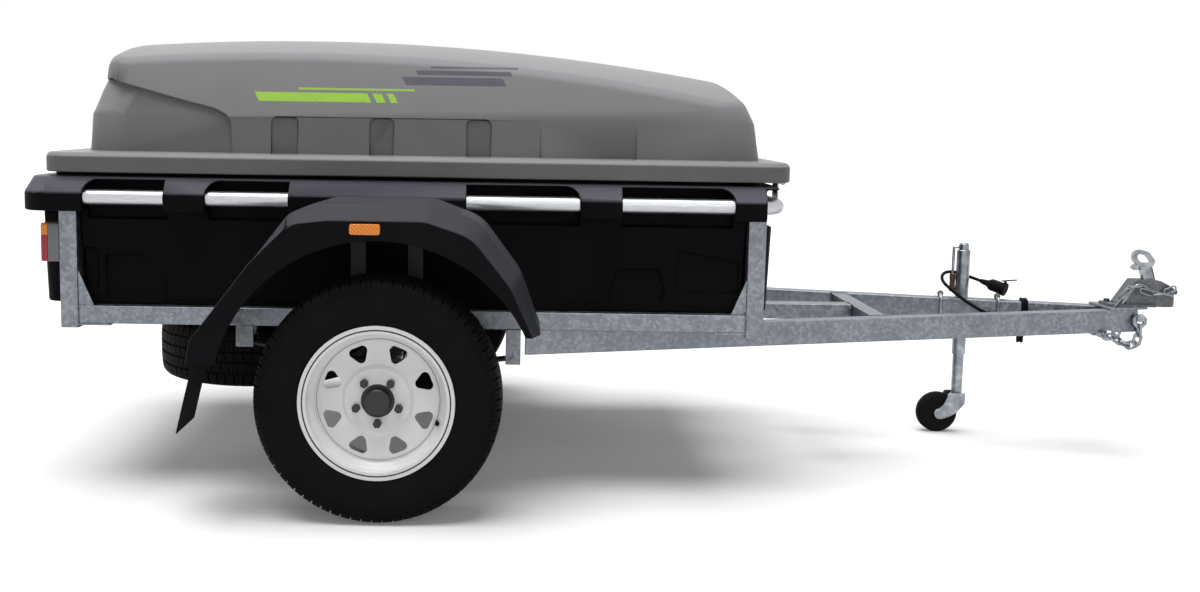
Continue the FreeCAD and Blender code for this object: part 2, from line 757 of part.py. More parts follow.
def coupling_bail():
    """Wire bail from the coupling's foot up beside the housing's slope and over to its nose."""
    low_x = coupling_base_front_x - coupling_base_length
    side_y = -head_radius - bail_gap - bail_radius
    foot = V(low_x + coupling_base_width / 4 + coupling_bolt_radius + bail_foot_inset, side_y,
             coupling_base_top_z + seat_gap + bail_radius / 2)
    slope_top = V(housing_rear_x + housing_slope_length, side_y, housing_top_z - bail_radius)
    nose = V(ball_x - head_radius / 2, side_y, housing_top_z - housing_nose_drop - nose_bolt_radius)
    middle = (slope_top + nose) / 2 - UP * bail_foot_inset
    end = nose + V(head_radius, 0, -bail_foot_inset)
    wire, _ = tube_along([foot, slope_top, middle, nose, end], bail_radius, lead_bend_share)
    return wire


# Jockey wheel

def drawbar_face_foot():
    """The point on the left rail's outer face beside the jockey wheel's tube."""
    return V(jockey_x, jockey_y, 0) - V(drawbar_slope, 1, 0).normalize() * jockey_standoff


def on_drawbar(shape):
    """Moves a shape from the drawbar face's own axes (forward, outward, up) to its place on the left rail."""
    angle = -math.degrees(math.atan(drawbar_slope))
    return shape.rotated(ORIGIN, UP, angle).translated(drawbar_face_foot())


def round_end(shape, radius, height):
    """The shape with the round edge at a height rounded."""
    edges = [edge for edge in shape.Edges if edge.BoundBox.ZMin > height - same_place and len(edge.Vertexes) == 1]
    return shape.makeFillet(radius, edges)


def jockey_tube():
    """Outer tube of the jockey wheel, with the cap of its winding gear."""
    foot, top = V(jockey_x, jockey_y, jockey_tube_bottom_z), V(jockey_x, jockey_y, jockey_tube_top_z)
    tube = round_end(rod(jockey_tube_radius, foot, top), jockey_tube_shoulder, jockey_tube_top_z)
    bore_top = top - UP * 2 * jockey_tube_shoulder
    bore = rod(jockey_tube_radius - jockey_tube_wall, foot - UP * overrun, bore_top)
    cap_z = jockey_tube_top_z + jockey_cap_height
    cap = round_end(rod(jockey_cap_radius, bore_top, V(top.x, top.y, cap_z)), jockey_cap_round, cap_z)
    return fuse([tube.cut(bore), cap])


def ubolt(u):
    """U-bolt round the rail at a place along it, with its nuts and the eyes of the plate that they press on."""
    bottom_z = drawbar_top_z - drawbar_rail_height
    reach = ubolt_bend - (ubolt_bend - ubolt_radius - seat_gap) / math.sqrt(2)
    inner_v, outer_v = -drawbar_rail_width - reach, clamp_plate_thickness + ubolt_thread
    low_z, high_z = bottom_z - reach, drawbar_top_z + reach
    corners = [(outer_v, high_z), (inner_v, high_z), (inner_v, low_z), (outer_v, low_z)]
    tangent = ubolt_bend / (high_z - low_z)
    bar, _ = tube_along([V(u, v, z) for v, z in corners], ubolt_radius, tangent)
    pieces = [bar]
    for z in (low_z, high_z):
        pieces.append(rod(2 * ubolt_radius, V(u, 0, z), V(u, clamp_plate_thickness, z)))
        hexagon = [(u + ubolt_nut_radius * math.cos(math.radians(60 * k)),
                    z + ubolt_nut_radius * math.sin(math.radians(60 * k))) for k in range(6)]
        pieces.append(prism_y(hexagon, clamp_plate_thickness, clamp_plate_thickness + ubolt_nut_height))
    return pieces


def jockey_clamp():
    """Clamp block on a plate that two U-bolts hold against the drawbar."""
    low_z = clamp_top_z - clamp_height
    centre = V(0, jockey_standoff, low_z)
    ring = rod(clamp_radius, centre, centre + UP * clamp_height)
    block = box(-clamp_half_length, clamp_half_length, 0, jockey_standoff, low_z, clamp_top_z)
    bottom_z = drawbar_top_z - drawbar_rail_height
    plate = box(-clamp_plate_rear, clamp_plate_front, 0, clamp_plate_thickness, bottom_z, drawbar_top_z)
    pieces = [ring, block, plate]
    for u in (ubolt_inset - clamp_plate_rear, clamp_plate_front - ubolt_inset):
        pieces += ubolt(u)
    bore = rod(jockey_tube_radius + seat_gap, centre - UP * overrun, centre + UP * (clamp_height + overrun))
    return on_drawbar(fuse(pieces).cut(bore))


def jockey_crank():
    """Crank of the winding gear, folded down close beside the tube."""
    angle = math.radians(crank_angle)
    out = V(math.cos(angle), math.sin(angle), 0)
    middle = V(jockey_x, jockey_y, jockey_tube_top_z + jockey_cap_height / 2 - jockey_cap_round / 2)
    elbow = middle + out * crank_reach
    knee = elbow - UP * crank_drop
    return fuse([rod(crank_rod_radius, middle + out * (jockey_cap_radius + running_gap), elbow),
                 Part.makeSphere(crank_rod_radius, elbow), rod(crank_rod_radius, elbow, knee),
                 rod(crank_grip_radius, knee, knee - UP * crank_grip_length)])


def jockey_inner_tube():
    radius = jockey_tube_radius - jockey_tube_wall - seat_gap
    foot, top = V(jockey_x, jockey_y, jockey_inner_bottom_z), V(jockey_x, jockey_y, jockey_inner_top_z)
    bore = rod(radius - jockey_inner_wall, foot - UP * overrun, top + UP * overrun)
    return rod(radius, foot, top).cut(bore)


def jockey_fork():
    """Swivelling fork: stem in the inner tube, crown, two cheeks and the wheel's pin."""
    inner_radius = jockey_tube_radius - jockey_tube_wall - seat_gap
    stem_radius = inner_radius - jockey_inner_wall - seat_gap
    crown_top_z = jockey_inner_bottom_z - seat_gap
    crown_z = crown_top_z - fork_crown_height
    axle_x = jockey_x - jockey_trail
    cheek_y = jockey_wheel_width / 2 + jockey_hub_overhang + fork_gap
    foot = V(jockey_x, jockey_y, crown_z)
    stem = rod(stem_radius, foot, foot + UP * (fork_crown_height + jockey_stem_length))
    crown = box(jockey_x - inner_radius, jockey_x + inner_radius, jockey_y - cheek_y - fork_sheet,
                jockey_y + cheek_y + fork_sheet, crown_z, crown_top_z)
    axle = V(axle_x, 0, jockey_wheel_radius)
    pieces = [stem, crown]
    for low_y in (jockey_y - cheek_y - fork_sheet, jockey_y + cheek_y):
        corners = [(axle_x - fork_eye_radius, jockey_wheel_radius), (jockey_x - inner_radius, crown_top_z),
                   (jockey_x + inner_radius, crown_top_z), (jockey_x + inner_radius, crown_z),
                   (axle_x + fork_eye_radius, jockey_wheel_radius)]
        pieces.append(prism_y(corners, low_y, low_y + fork_sheet))
        eye = V(axle_x, low_y, jockey_wheel_radius)
        pieces.append(rod(fork_eye_radius, eye, eye + SIDEWAYS * fork_sheet))
    reach = SIDEWAYS * (cheek_y + fork_sheet + jockey_pin_radius / 2)
    middle = axle + SIDEWAYS * jockey_y
    pieces.append(rod(jockey_pin_radius, middle - reach, middle + reach))
    return fuse(pieces)


def jockey_wheel():
    """Solid rubber tyre on a hub with a plain bore."""
    half, over = jockey_wheel_width / 2, jockey_hub_overhang
    bore = jockey_pin_radius + running_gap
    shoulder = jockey_wheel_radius - half / 2
    profile = [(-half - over, bore), (half + over, bore), (half + over, jockey_hub_radius),
               (half, jockey_hub_radius), (half, shoulder), (half / 2, jockey_wheel_radius),
               (-half / 2, jockey_wheel_radius), (-half, shoulder), (-half, jockey_hub_radius),
               (-half - over, jockey_hub_radius)]
    return turned_y(profile).translated(V(jockey_x - jockey_trail, jockey_y, jockey_wheel_radius))


# Safety chains

def chain_link(start, heading, flat):
    """One oval link from the middle of its first bend, lying in the chain's plane or turned across it."""
    half_length, half_width = chain_link_length / 2, chain_link_width / 2
    bevel, half = chain_link_bevel, chain_wire / 2
    corners = [(half_length, half_width - bevel), (half_length - bevel, half_width),
               (bevel - half_length, half_width), (-half_length, half_width - bevel),
               (-half_length, bevel - half_width), (bevel - half_length, -half_width),
               (half_length - bevel, -half_width), (half_length, bevel - half_width)]
    link = prism_y(corners, -half, half).cut(prism_y(inset(corners, chain_wire), -overrun, overrun))
    if not flat:
        link = link.rotated(ORIGIN, FORWARD, HALF_TURN / 2)
    middle = start + heading * (half_length - half)
    link.Placement = FreeCAD.Placement(middle, FreeCAD.Rotation(FORWARD, heading)).multiply(link.Placement)
    return link


def safety_chain():
    """Left shackle bolted to the rail's end, and the chain that hangs from it, welded link to link."""
    face_y = drawbar_outer_y(shackle_x)
    y = face_y + chain_side_gap
    half = shackle_thickness / 2
    middle, bolt = V(shackle_x, y, shackle_z), V(shackle_x, y, shackle_z + shackle_bolt_rise)
    eighth = math.pi / 4
    rings = [[(shackle_x + radius * math.cos(eighth * (k + 0.5)), shackle_z + radius * math.sin(eighth * (k + 0.5)))
              for k in range(8)] for radius in (shackle_radius, shackle_bore)]
    ring = prism_y(rings[0], y - half, y + half).cut(prism_y(rings[1], y - overrun, y + overrun))
    shank = rod(shackle_bolt_radius, V(bolt.x, face_y - overrun, bolt.z), bolt + SIDEWAYS * half)
    head = rod(shackle_head_radius, bolt + SIDEWAYS * half, bolt + SIDEWAYS * (half + shackle_head_height))
    pieces = [ring, shank.cut(drawbar_rail_blank()), head]
    pitch = chain_link_length - 2 * chain_wire + chain_overlap
    place = middle - UP * (shackle_radius - (shackle_radius - shackle_bore) / 2 - chain_wire + chain_overlap)
    along = V(1, -drawbar_slope, 0).normalize()
    for i, degrees in enumerate(chain_headings):
        angle = math.radians(degrees)
        heading = along * math.cos(angle) + UP * math.sin(angle)
        pieces.append(chain_link(place, heading, i % 2 == 1))
        place = place + heading * pitch
    return fuse(pieces)


# Lead

def lead_coil():
    """The lead's turns round the left rail, as one closed band that hangs a little below it."""
    bottom_z = drawbar_top_z - drawbar_rail_height
    out, gap = lead_diameter, seat_gap
    low_z = bottom_z - coil_hang - out
    middle_v = -drawbar_rail_width / 2
    corners = [(-drawbar_rail_width - gap - out, drawbar_top_z + gap + out), (gap + out, drawbar_top_z + gap + out),
               (gap + out, low_z + coil_taper), (middle_v + coil_foot_half, low_z),
               (middle_v - coil_foot_half, low_z), (-drawbar_rail_width - gap - out, low_z + coil_taper)]
    length = coil_turns * lead_diameter
    band = prism_x(corners, coil_rear, coil_rear + length, [out, out, coil_corner, out, out, coil_corner])
    hollow = prism_x(inset(corners, out), coil_rear - overrun, coil_rear + length + overrun)
    return on_drawbar(band.cut(hollow))


def lead_clip():
    """Saddle clip on the rail's inner face, where the lead comes out of the rail beside the coil."""
    start = coil_rear + coil_turns * lead_diameter
    middle_v = -drawbar_rail_width - seat_gap - clip_radius
    sleeve = rod(clip_radius, V(start, middle_v, lead_start_z), V(start + clip_length, middle_v, lead_start_z))
    foot = box(start + clip_length / 4, start + clip_length * 3 / 4, middle_v, -drawbar_rail_width,
               lead_start_z - clip_radius, lead_start_z + clip_radius)
    return on_drawbar(fuse([sleeve, foot]))


def lead_points():
    """The lead's route from the coil's rear face to the plug's tail."""
    middle_v = -drawbar_rail_width - seat_gap - lead_diameter / 2
    start, way_out = [on_drawbar(Part.Vertex(u, middle_v, lead_start_z)).Point for u in (coil_rear, coil_rear - lead_exit)]
    return [start, way_out] + [V(*point) for point in lead_route]


def lead_tube():
    points = lead_points()
    tube, radii = tube_along(points, lead_diameter / 2, lead_bend_share)
    wire, _ = route(points, lead_bend_share)
    print("lead: length", round(wire.Length), "radii", [round(radius) for radius in radii], "volume over section times "
          "length", round(tube.Volume / (wire.Length * math.pi * lead_diameter ** 2 / 4), 4))
    return tube


def lead_plug():
    """Trailer plug with its ribbed tail, round body and the spring cover that stands open."""
    profile = [(0, 0), (0, plug_tail_radius), (plug_tail_length, plug_neck_radius),
               (plug_tail_length + plug_shoulder, plug_radius - plug_lip),
               (plug_length - plug_shoulder, plug_radius - plug_lip), (plug_length - plug_shoulder, plug_radius),
               (plug_length, plug_radius), (plug_length, 0)]
    points = [V(x, 0, radius) for x, radius in profile]
    body = Part.Face(Part.makePolygon(points + points[:1])).revolve(ORIGIN, FORWARD, FULL_TURN)
    half = plug_radius / 2
    cover = box(0, plug_cover_length, -half, half, 0, plug_cover_sheet).rotated(ORIGIN, SIDEWAYS, -plug_cover_angle)
    hinge_x = plug_length - plug_shoulder / 2
    hinge = box(hinge_x - plug_shoulder / 2, hinge_x, -half / 2, half / 2, 0, plug_radius + plug_cover_sheet)
    cover = cover.translated(V(hinge_x - plug_shoulder, 0, plug_radius))
    plug = fuse([body, hinge, cover])
    points = lead_points()
    way = points[-1] - points[-2]
    plug.Placement = FreeCAD.Placement(points[-1], FreeCAD.Rotation(FORWARD, way))
    return plug


# Road wheels, made about the origin with the outboard side towards +Y

def tyre():
    half, tread_half = tyre_width / 2, tread_width / 2
    bead = rim_seat_radius + seat_gap
    wall_y = rim_width / 2 - flange_sheet - seat_gap
    shoulder = tyre_radius - tread_drop
    right = [(wall_y, bead), (wall_y, flange_radius), (half - tread_drop / 5, (flange_radius + tyre_bulge_radius) / 2),
             (half, tyre_bulge_radius), (half - tread_drop / 4, (tyre_bulge_radius + shoulder) / 2),
             (tread_half + tread_drop / 2, shoulder), (tread_half, shoulder + tread_drop / 2),
             (tread_half / 2, tyre_radius)]
    left = [(-y, radius) for y, radius in reversed(right)]
    return faceted_ring(right + left, tyre_facets)


def rim():
    """Steel wheel: rolled rim with its well, and the pressed disc with its windows and holes."""
    half = rim_width / 2
    seat_in, well_in = rim_seat_radius - rim_sheet, rim_well_radius - rim_sheet
    flange_y = half - flange_sheet
    outside = [(half, flange_radius), (flange_y, flange_radius), (flange_y, rim_seat_radius),
               (well_outboard + well_ramp, rim_seat_radius), (well_outboard, rim_well_radius),
               (well_inboard, rim_well_radius), (well_inboard - well_ramp, rim_seat_radius),
               (-flange_y, rim_seat_radius), (-flange_y, flange_radius), (-half, flange_radius)]
    inside = [(-half, seat_in), (well_inboard - well_ramp, seat_in), (well_inboard, well_in),
              (well_outboard, well_in), (well_outboard + well_ramp, seat_in), (half, seat_in)]
    barrel = turned_y(outside + inside)
    crown_y = disc_outboard + disc_crown_rise
    edge_y = disc_outboard - disc_edge_drop
    ramp_end = disc_crown_radius + disc_crown_ramp
    face = [(crown_y, disc_bore_radius), (crown_y, disc_crown_radius), (disc_outboard, ramp_end),
            (disc_outboard, well_in - 2 * disc_edge_drop), (edge_y, well_in + rim_sheet / 2)]
    back = [(y - disc_sheet, radius) for y, radius in reversed(face)]
    disc = turned_y(face + back)
    holes = []
    for i in range(window_count):
        angle = FULL_TURN * (i + 0.5) / window_count
        holes.append(disc_window().rotated(ORIGIN, SIDEWAYS, angle))
    for i in range(stud_count):
        hole = rod(stud_hole_radius, V(0, 0, stud_circle_radius), V(0, rim_width, stud_circle_radius))
        holes.append(hole.rotated(ORIGIN, SIDEWAYS, FULL_TURN * (i + 0.5) / stud_count))
    return fuse([barrel, cut(disc, holes)])


def disc_window():
    """Cutter for one rounded three-cornered window of the wheel's disc."""
    half = window_base / 2
    corners = [(-half, window_outer_radius), (0, window_inner_radius), (half, window_outer_radius)]
    return prism_y(corners, 0, rim_width, window_corner)


def hub():
    """Hub with its flange, studs, nuts and grease cap, bored for the spindle."""
    seat_y = disc_outboard + disc_crown_rise - disc_sheet
    bore = spindle_radius + running_gap
    back_y = seat_y - hub_barrel_length
    flange_y = seat_y - hub_flange_thickness
    cap_y = seat_y + hub_cap_length
    profile = [(back_y, bore), (back_y, hub_barrel_radius), (flange_y, hub_barrel_radius),
               (flange_y, hub_flange_radius), (seat_y, hub_flange_radius), (seat_y, hub_cap_radius),
               (cap_y - hub_cap_wall, hub_cap_radius), (cap_y, hub_cap_radius - hub_cap_wall), (cap_y, 0),
               (cap_y - hub_cap_wall, 0), (cap_y - hub_cap_wall, hub_cap_radius - hub_cap_wall),
               (seat_y, hub_cap_radius - hub_cap_wall), (seat_y, bore)]
    pieces = [turned_y(profile)]
    nut_y = seat_y + disc_sheet + seat_gap
    for i in range(stud_count):
        start = V(0, flange_y, stud_circle_radius)
        stud = rod(stud_radius, start, V(0, nut_y, stud_circle_radius))
        hexagon = [(nut_across_corners / 2 * math.cos(math.radians(60 * k)),
                    stud_circle_radius + nut_across_corners / 2 * math.sin(math.radians(60 * k)))
                   for k in range(6)]
        nut = prism_y(hexagon, nut_y, nut_y + nut_height)
        turn = FULL_TURN * (i + 0.5) / stud_count
        pieces += [piece.rotated(ORIGIN, SIDEWAYS, turn) for piece in (stud, nut)]
    return fuse(pieces)


def at_left_wheel(shape):
    return shape.translated(V(0, wheel_y, axle_z))


def at_right_wheel(shape):
    return shape.rotated(ORIGIN, UP, HALF_TURN).translated(V(0, -wheel_y, axle_z))


def axle():
    """Square axle beam with a spindle at each end."""
    hub_back_y = wheel_y + disc_outboard + disc_crown_rise - disc_sheet - hub_barrel_length
    beam_half = hub_back_y - running_gap * 2
    half = axle_section / 2
    beam = prism_x(rectangle(-beam_half, beam_half, axle_z - half, axle_z + half), -half, half)
    spindle_end = beam_half + spindle_length
    spindle = rod(spindle_radius, V(0, -spindle_end, axle_z), V(0, spindle_end, axle_z))
    return fuse([beam, spindle])


# Springs

def arc_band(start, middle, end, thickness, low_y, high_y):
    """Curved strip of even thickness whose upper face runs through three (x, z) points."""
    points = [V(x, low_y, z) for x, z in (start, middle, end)]
    upper = Part.Arc(*points)
    lower = Part.Arc(*[point - UP * thickness for point in points])
    sides = [Part.LineSegment(points[2], points[2] - UP * thickness).toShape(),
             Part.LineSegment(points[0] - UP * thickness, points[0]).toShape()]
    face = Part.Face(Part.Wire([upper.toShape(), sides[0], lower.toShape(), sides[1]]))
    return face.extrude(SIDEWAYS * (high_y - low_y))


def spring_camber(x):
    """Height of the main leaf's upper face, a shallow arc through its seat on the axle and both ends."""
    seat_z = spring_seat_z + spring_leaf * len(spring_leaf_shares)
    circle = Part.Circle(V(spring_rear_x, 0, spring_slide_z), V(0, 0, seat_z),
                         V(spring_front_x, 0, spring_eye_z))
    return circle.Center.z - math.sqrt(circle.Radius ** 2 - (x - circle.Center.x) ** 2)


def spring():
    """Left leaf spring: a main leaf with an eye in front and a slipper end behind, and two shorter leaves."""
    low_y, high_y = spring_y - spring_width / 2, spring_y + spring_width / 2
    pieces = []
    for i, share in enumerate(spring_leaf_shares):
        points = [(x, spring_camber(x) - spring_leaf * i)
                  for x in (spring_rear_x * share, 0, spring_front_x * share)]
        pieces.append(arc_band(*points, spring_leaf, low_y, high_y))
    eye_centre = V(spring_front_x, low_y, spring_eye_z - spring_leaf / 2)
    eye = rod(spring_eye_radius, eye_centre, eye_centre + SIDEWAYS * spring_width)
    bore = rod(spring_bolt_radius + seat_gap, eye_centre - SIDEWAYS * overrun,
               eye_centre + SIDEWAYS * (spring_width + overrun))
    return fuse(pieces + [eye]).cut(bore)


def spring_hangers():
    """Front hanger with its bolt, and the rear slipper box, on each side."""
    low_y = spring_y - spring_width / 2 - seat_gap
    high_y = spring_y + spring_width / 2 + seat_gap
    eye_z = spring_eye_z - spring_leaf / 2
    bottom_z = rail_bottom_z - hanger_drop
    half = hanger_front_width / 2
    top = box(spring_front_x - half, spring_front_x + half, low_y - steel_plate, high_y + steel_plate,
              rail_bottom_z - steel_plate, rail_bottom_z)
    pieces = [top]
    for y in (low_y - steel_plate, high_y):
        pieces.append(box(spring_front_x - half, spring_front_x + half, y, y + steel_plate,
                          bottom_z, rail_bottom_z))
    pieces.append(rod(spring_bolt_radius, V(spring_front_x, low_y - 2 * steel_plate, eye_z),
                      V(spring_front_x, high_y + 2 * steel_plate, eye_z)))
    front = fuse(pieces)
    rear_low, rear_high = spring_rear_x - slipper_length / 2, spring_rear_x + slipper_length / 2
    slide_bottom_z = spring_slide_z - spring_leaf
    outer = box(rear_low, rear_high, low_y - steel_plate, high_y + steel_plate,
                rail_bottom_z - slipper_drop, rail_bottom_z)
    room = box(rear_low - overrun, rear_high + overrun, low_y, high_y,
               slide_bottom_z - 2 * steel_plate, spring_slide_z + 2 * steel_plate)
    rear = outer.cut(room)
    return Part.makeCompound([front, rear, mirrored(front), mirrored(rear)])


def spring_clamps():
    """Saddle on the axle, top plate and bottom plate with the four bolt legs that clamp each spring."""
    stack_top_z = spring_seat_z + spring_leaf * len(spring_leaf_shares)
    half = ubolt_span / 2
    low_y, high_y = spring_y - spring_width / 2, spring_y + spring_width / 2
    axle_low, axle_top = axle_z - axle_section / 2, axle_z + axle_section / 2
    leg_x = axle_section / 2 + ubolt_radius + seat_gap
    reach = 2 * ubolt_radius + seat_gap
    low_plate = box(-half, half, low_y - reach, high_y + reach, axle_low - seat_gap - ubolt_plate,
                    axle_low - seat_gap)
    saddle = box(-axle_section / 2, axle_section / 2, low_y, high_y, axle_top + seat_gap,
                 spring_seat_z - spring_saddle_gap)
    top_plate = box(-half, half, low_y - reach, high_y + reach,
                    stack_top_z + spring_plate_gap,
                    stack_top_z + spring_plate_gap + ubolt_plate)
    pieces = [low_plate, top_plate]
    for x in (-leg_x, leg_x):
        for y in (low_y - ubolt_radius - seat_gap, high_y + ubolt_radius + seat_gap):
            pieces.append(rod(ubolt_radius, V(x, y, axle_low - ubolt_plate - 2 * ubolt_radius),
                              V(x, y, stack_top_z + ubolt_plate + 2 * ubolt_radius)))
    return both_sides(Part.makeCompound([fuse(pieces), saddle]))


# Spare wheel

def at_spare(shape):
    """A wheel laid flat under the tail with its outboard side down."""
    return shape.rotated(ORIGIN, FORWARD, -HALF_TURN / 2).translated(V(spare_x, 0, spare_z))


def spare_carrier():
    """Bar across two cross members with the rod and plate that hold the spare wheel up."""
    length = frame_front_x - frame_rear_x
    first, second = [frame_rear_x + share * length for share in cross_member_shares[:2]]
    half = carrier_width / 2
    bar = box(first, second + cross_member_width, -half, half,
              rail_bottom_z - carrier_thickness, rail_bottom_z)
    seat_z = spare_z - (disc_outboard + disc_crown_rise - disc_sheet) + seat_gap
    plate = rod(carrier_plate_radius, V(spare_x, 0, seat_z), V(spare_x, 0, seat_z + carrier_thickness))
    foot_z = spare_z - disc_outboard - disc_crown_rise - seat_gap - carrier_thickness
    hanger = rod(carrier_rod_radius, V(spare_x, 0, foot_z - carrier_thickness), V(spare_x, 0, rail_bottom_z))
    washer = rod(disc_bore_radius + carrier_thickness, V(spare_x, 0, foot_z),
                 V(spare_x, 0, foot_z + carrier_thickness))
    return fuse([bar, plate, hanger, washer])


# Tub

def tub_blank():
    """Outside of the tub below the rim, with a slight draft, wider between the posts than beyond them."""
    def body(corners, corner, foot_corner):
        foot = level(outline(inset(corners, tub_draft), foot_corner), tub_bottom_z)
        top = level(outline(corners, corner), rim_bottom_z)
        return Part.makeLoft([foot, top], True, True)

    ends = body(rectangle(tub_rear_x, tub_front_x, -tub_end_half_width, tub_end_half_width), tub_corner,
                tub_foot_corner)
    side_low = frame_rear_x + post_section + post_recess_gap
    side_high = frame_front_x - post_section - post_recess_gap
    sides = body(rectangle(side_low, side_high, -tub_half_width, tub_half_width), post_recess_gap,
                 post_recess_gap)
    return ends.fuse(sides)


def rim_blank():
    """The chunky rim: upright outer face with a bevel above it."""
    corners = rectangle(rim_rear_x, rim_front_x, -rim_half_width, rim_half_width)
    upright = prism_z(corners, rim_bottom_z, rim_bevel_z, rim_corner)
    foot = level(outline(corners, rim_corner), rim_bevel_z)
    top = level(outline(inset(corners, rim_bevel_inset), rim_corner - rim_bevel_inset), rim_top_z)
    return upright.fuse(Part.makeLoft([foot, top], True, True))


def handrail_solid(radius, rear_x):
    """The U-shaped tube round both sides and the front, at a given radius."""
    side_y = rim_half_width - handrail_inset
    front_x = rim_front_x - handrail_inset
    bend_x, bend_y = front_x - handrail_bend, side_y - handrail_bend
    pieces = [rod(radius, V(front_x, -bend_y, handrail_z), V(front_x, bend_y, handrail_z))]
    for sign in (1, -1):
        pieces.append(rod(radius, V(rear_x, sign * side_y, handrail_z), V(bend_x, sign * side_y, handrail_z)))
        centre = V(bend_x, sign * bend_y, handrail_z)
        circle = Part.Face(Part.Wire(Part.makeCircle(radius, V(bend_x, sign * side_y, handrail_z), FORWARD)))
        pieces.append(circle.revolve(centre, UP * -sign, HALF_TURN / 2))
    return fuse(pieces)


def handrail():
    return handrail_solid(handrail_radius, handrail_rear_x)


def rail_windows():
    """Cutters for the recesses of the rim in which the handrail shows."""
    length = rim_front_x - rim_rear_x
    low_z = rim_bottom_z - overrun
    inner_y = rim_half_width - rail_window_depth
    windows = []
    for i, (start, end) in enumerate(rail_window_shares):
        low_x, high_x = rim_rear_x + start * length, rim_rear_x + end * length
        round_rear = i < len(rail_window_shares) / 2
        radii = [0, 0, 0 if round_rear else rail_window_corner, rail_window_corner if round_rear else 0]
        window = prism_y(rectangle(low_x, high_x, low_z, rail_window_top_z), inner_y,
                         rim_half_width + overrun, radii)
        windows += [window, mirrored(window)]
    front_inner_x = rim_front_x - rail_window_depth
    block_half = front_window_share * rim_half_width
    for sign in (1, -1):
        low_y, high_y = sorted((sign * block_half, sign * (rim_half_width + overrun)))
        window = box(front_inner_x, rim_front_x + overrun, low_y, high_y, low_z, rail_window_top_z)
        low_y, high_y = sorted((sign * inner_y, sign * (rim_half_width + overrun)))
        corner = box(corner_window_start_x, rim_front_x + overrun, low_y, high_y, low_z, rail_window_top_z)
        windows.append(window.fuse(corner))
    return windows


def side_bays():
    """Cutters for the shallow bays in the tub's sides."""
    length, height = tub_front_x - tub_rear_x, rim_bottom_z - tub_bottom_z
    bays = []
    for shares in bay_shares:
        corners = [(tub_rear_x + u * length, tub_bottom_z + v * height) for u, v in shares]
        bay = prism_y(corners, tub_half_width - tub_draft - bay_depth, tub_half_width + overrun, bay_corner)
        bays += [bay, mirrored(bay)]
    return bays


def post_recesses():
    """Room for the corner posts beside the tub, and for the tail lamps behind the rear posts."""
    gap = post_recess_gap
    outer_y = max(rim_half_width, tub_half_width) + overrun
    inner_y = frame_half_width - post_section - gap
    recesses = []
    for low_x, high_x in ((frame_rear_x - gap, frame_rear_x + post_section + gap),
                          (frame_front_x - post_section - gap, frame_front_x + gap)):
        recess = box(low_x, high_x, inner_y, outer_y, tub_bottom_z - overrun, rim_bottom_z)
        recesses += [recess, mirrored(recess)]
    lamp_inner_y = frame_half_width - lamp_width - gap
    lamp = box(rim_rear_x, frame_rear_x + gap, lamp_inner_y, outer_y, lamp_top_z - lamp_height - gap,
               rim_bottom_z)
    return recesses + [lamp, mirrored(lamp)]


def tub_cavity():
    corners = rectangle(cavity_rear_x, cavity_front_x, -cavity_half_width, cavity_half_width)
    foot = level(outline(inset(corners, cavity_draft), cavity_corner - cavity_draft),
                 tub_bottom_z + tub_floor)
    top = level(outline(corners, cavity_corner), rim_top_z + overrun)
    return Part.makeLoft([foot, top], True, True)


def tub():
    """The moulded tub: body, rim with its handrail recesses, post recesses and the open load space."""
    whole = tub_blank().fuse(rim_blank()).removeSplitter()
    bore = handrail_solid(handrail_radius + seat_gap, handrail_rear_x - seat_gap)
    hollow = cut(whole, [tub_cavity(), bore])
    return cut(cut(hollow, post_recesses() + side_bays()), rail_windows()).removeSplitter()


def lid_seal():
    """Rubber seal on top of the rim, under the lid's flange."""
    corners = rectangle(rim_rear_x + rim_bevel_inset, rim_front_x - rim_bevel_inset,
                        rim_bevel_inset - rim_half_width, rim_half_width - rim_bevel_inset)
    outer = inset(corners, seal_inset)
    inner = inset(outer, seal_width)
    high_z = rim_top_z + seal_height
    ring = prism_z(outer, rim_top_z, high_z, rim_corner - seal_width)
    return ring.cut(prism_z(inner, rim_top_z - overrun, high_z + overrun, rim_corner - 2 * seal_width))


# Lid

def lid_roof(drop):
    """Block whose upper face is the roof's double curve, lowered by a wall thickness."""
    crown = lid_crown_z - drop
    half = lid_roof_half_chord
    side_radius = (half ** 2 + lid_roof_side_drop ** 2) / (2 * lid_roof_side_drop)
    axis_z = crown - side_radius
    low_z = lid_flange_bottom_z - overrun
    front = V(lid_wall_front_x, 0, crown - lid_roof_front_drop)
    rear = V(lid_wall_rear_x, 0, crown - lid_roof_rear_drop)
    top = Part.Arc(rear, V(lid_crown_x, 0, crown), front)
    points = [front, V(front.x, 0, low_z), V(rear.x, 0, low_z), rear]
    edges = [top.toShape()] + [Part.LineSegment(a, b).toShape() for a, b in zip(points, points[1:])]
    face = Part.Face(Part.Wire(edges))
    spread = math.degrees(math.asin(lid_half_width / (low_z - axis_z)))
    base = V(0, 0, axis_z)
    face.rotate(base, FORWARD, -spread)
    return face.revolve(base, FORWARD, 2 * spread)


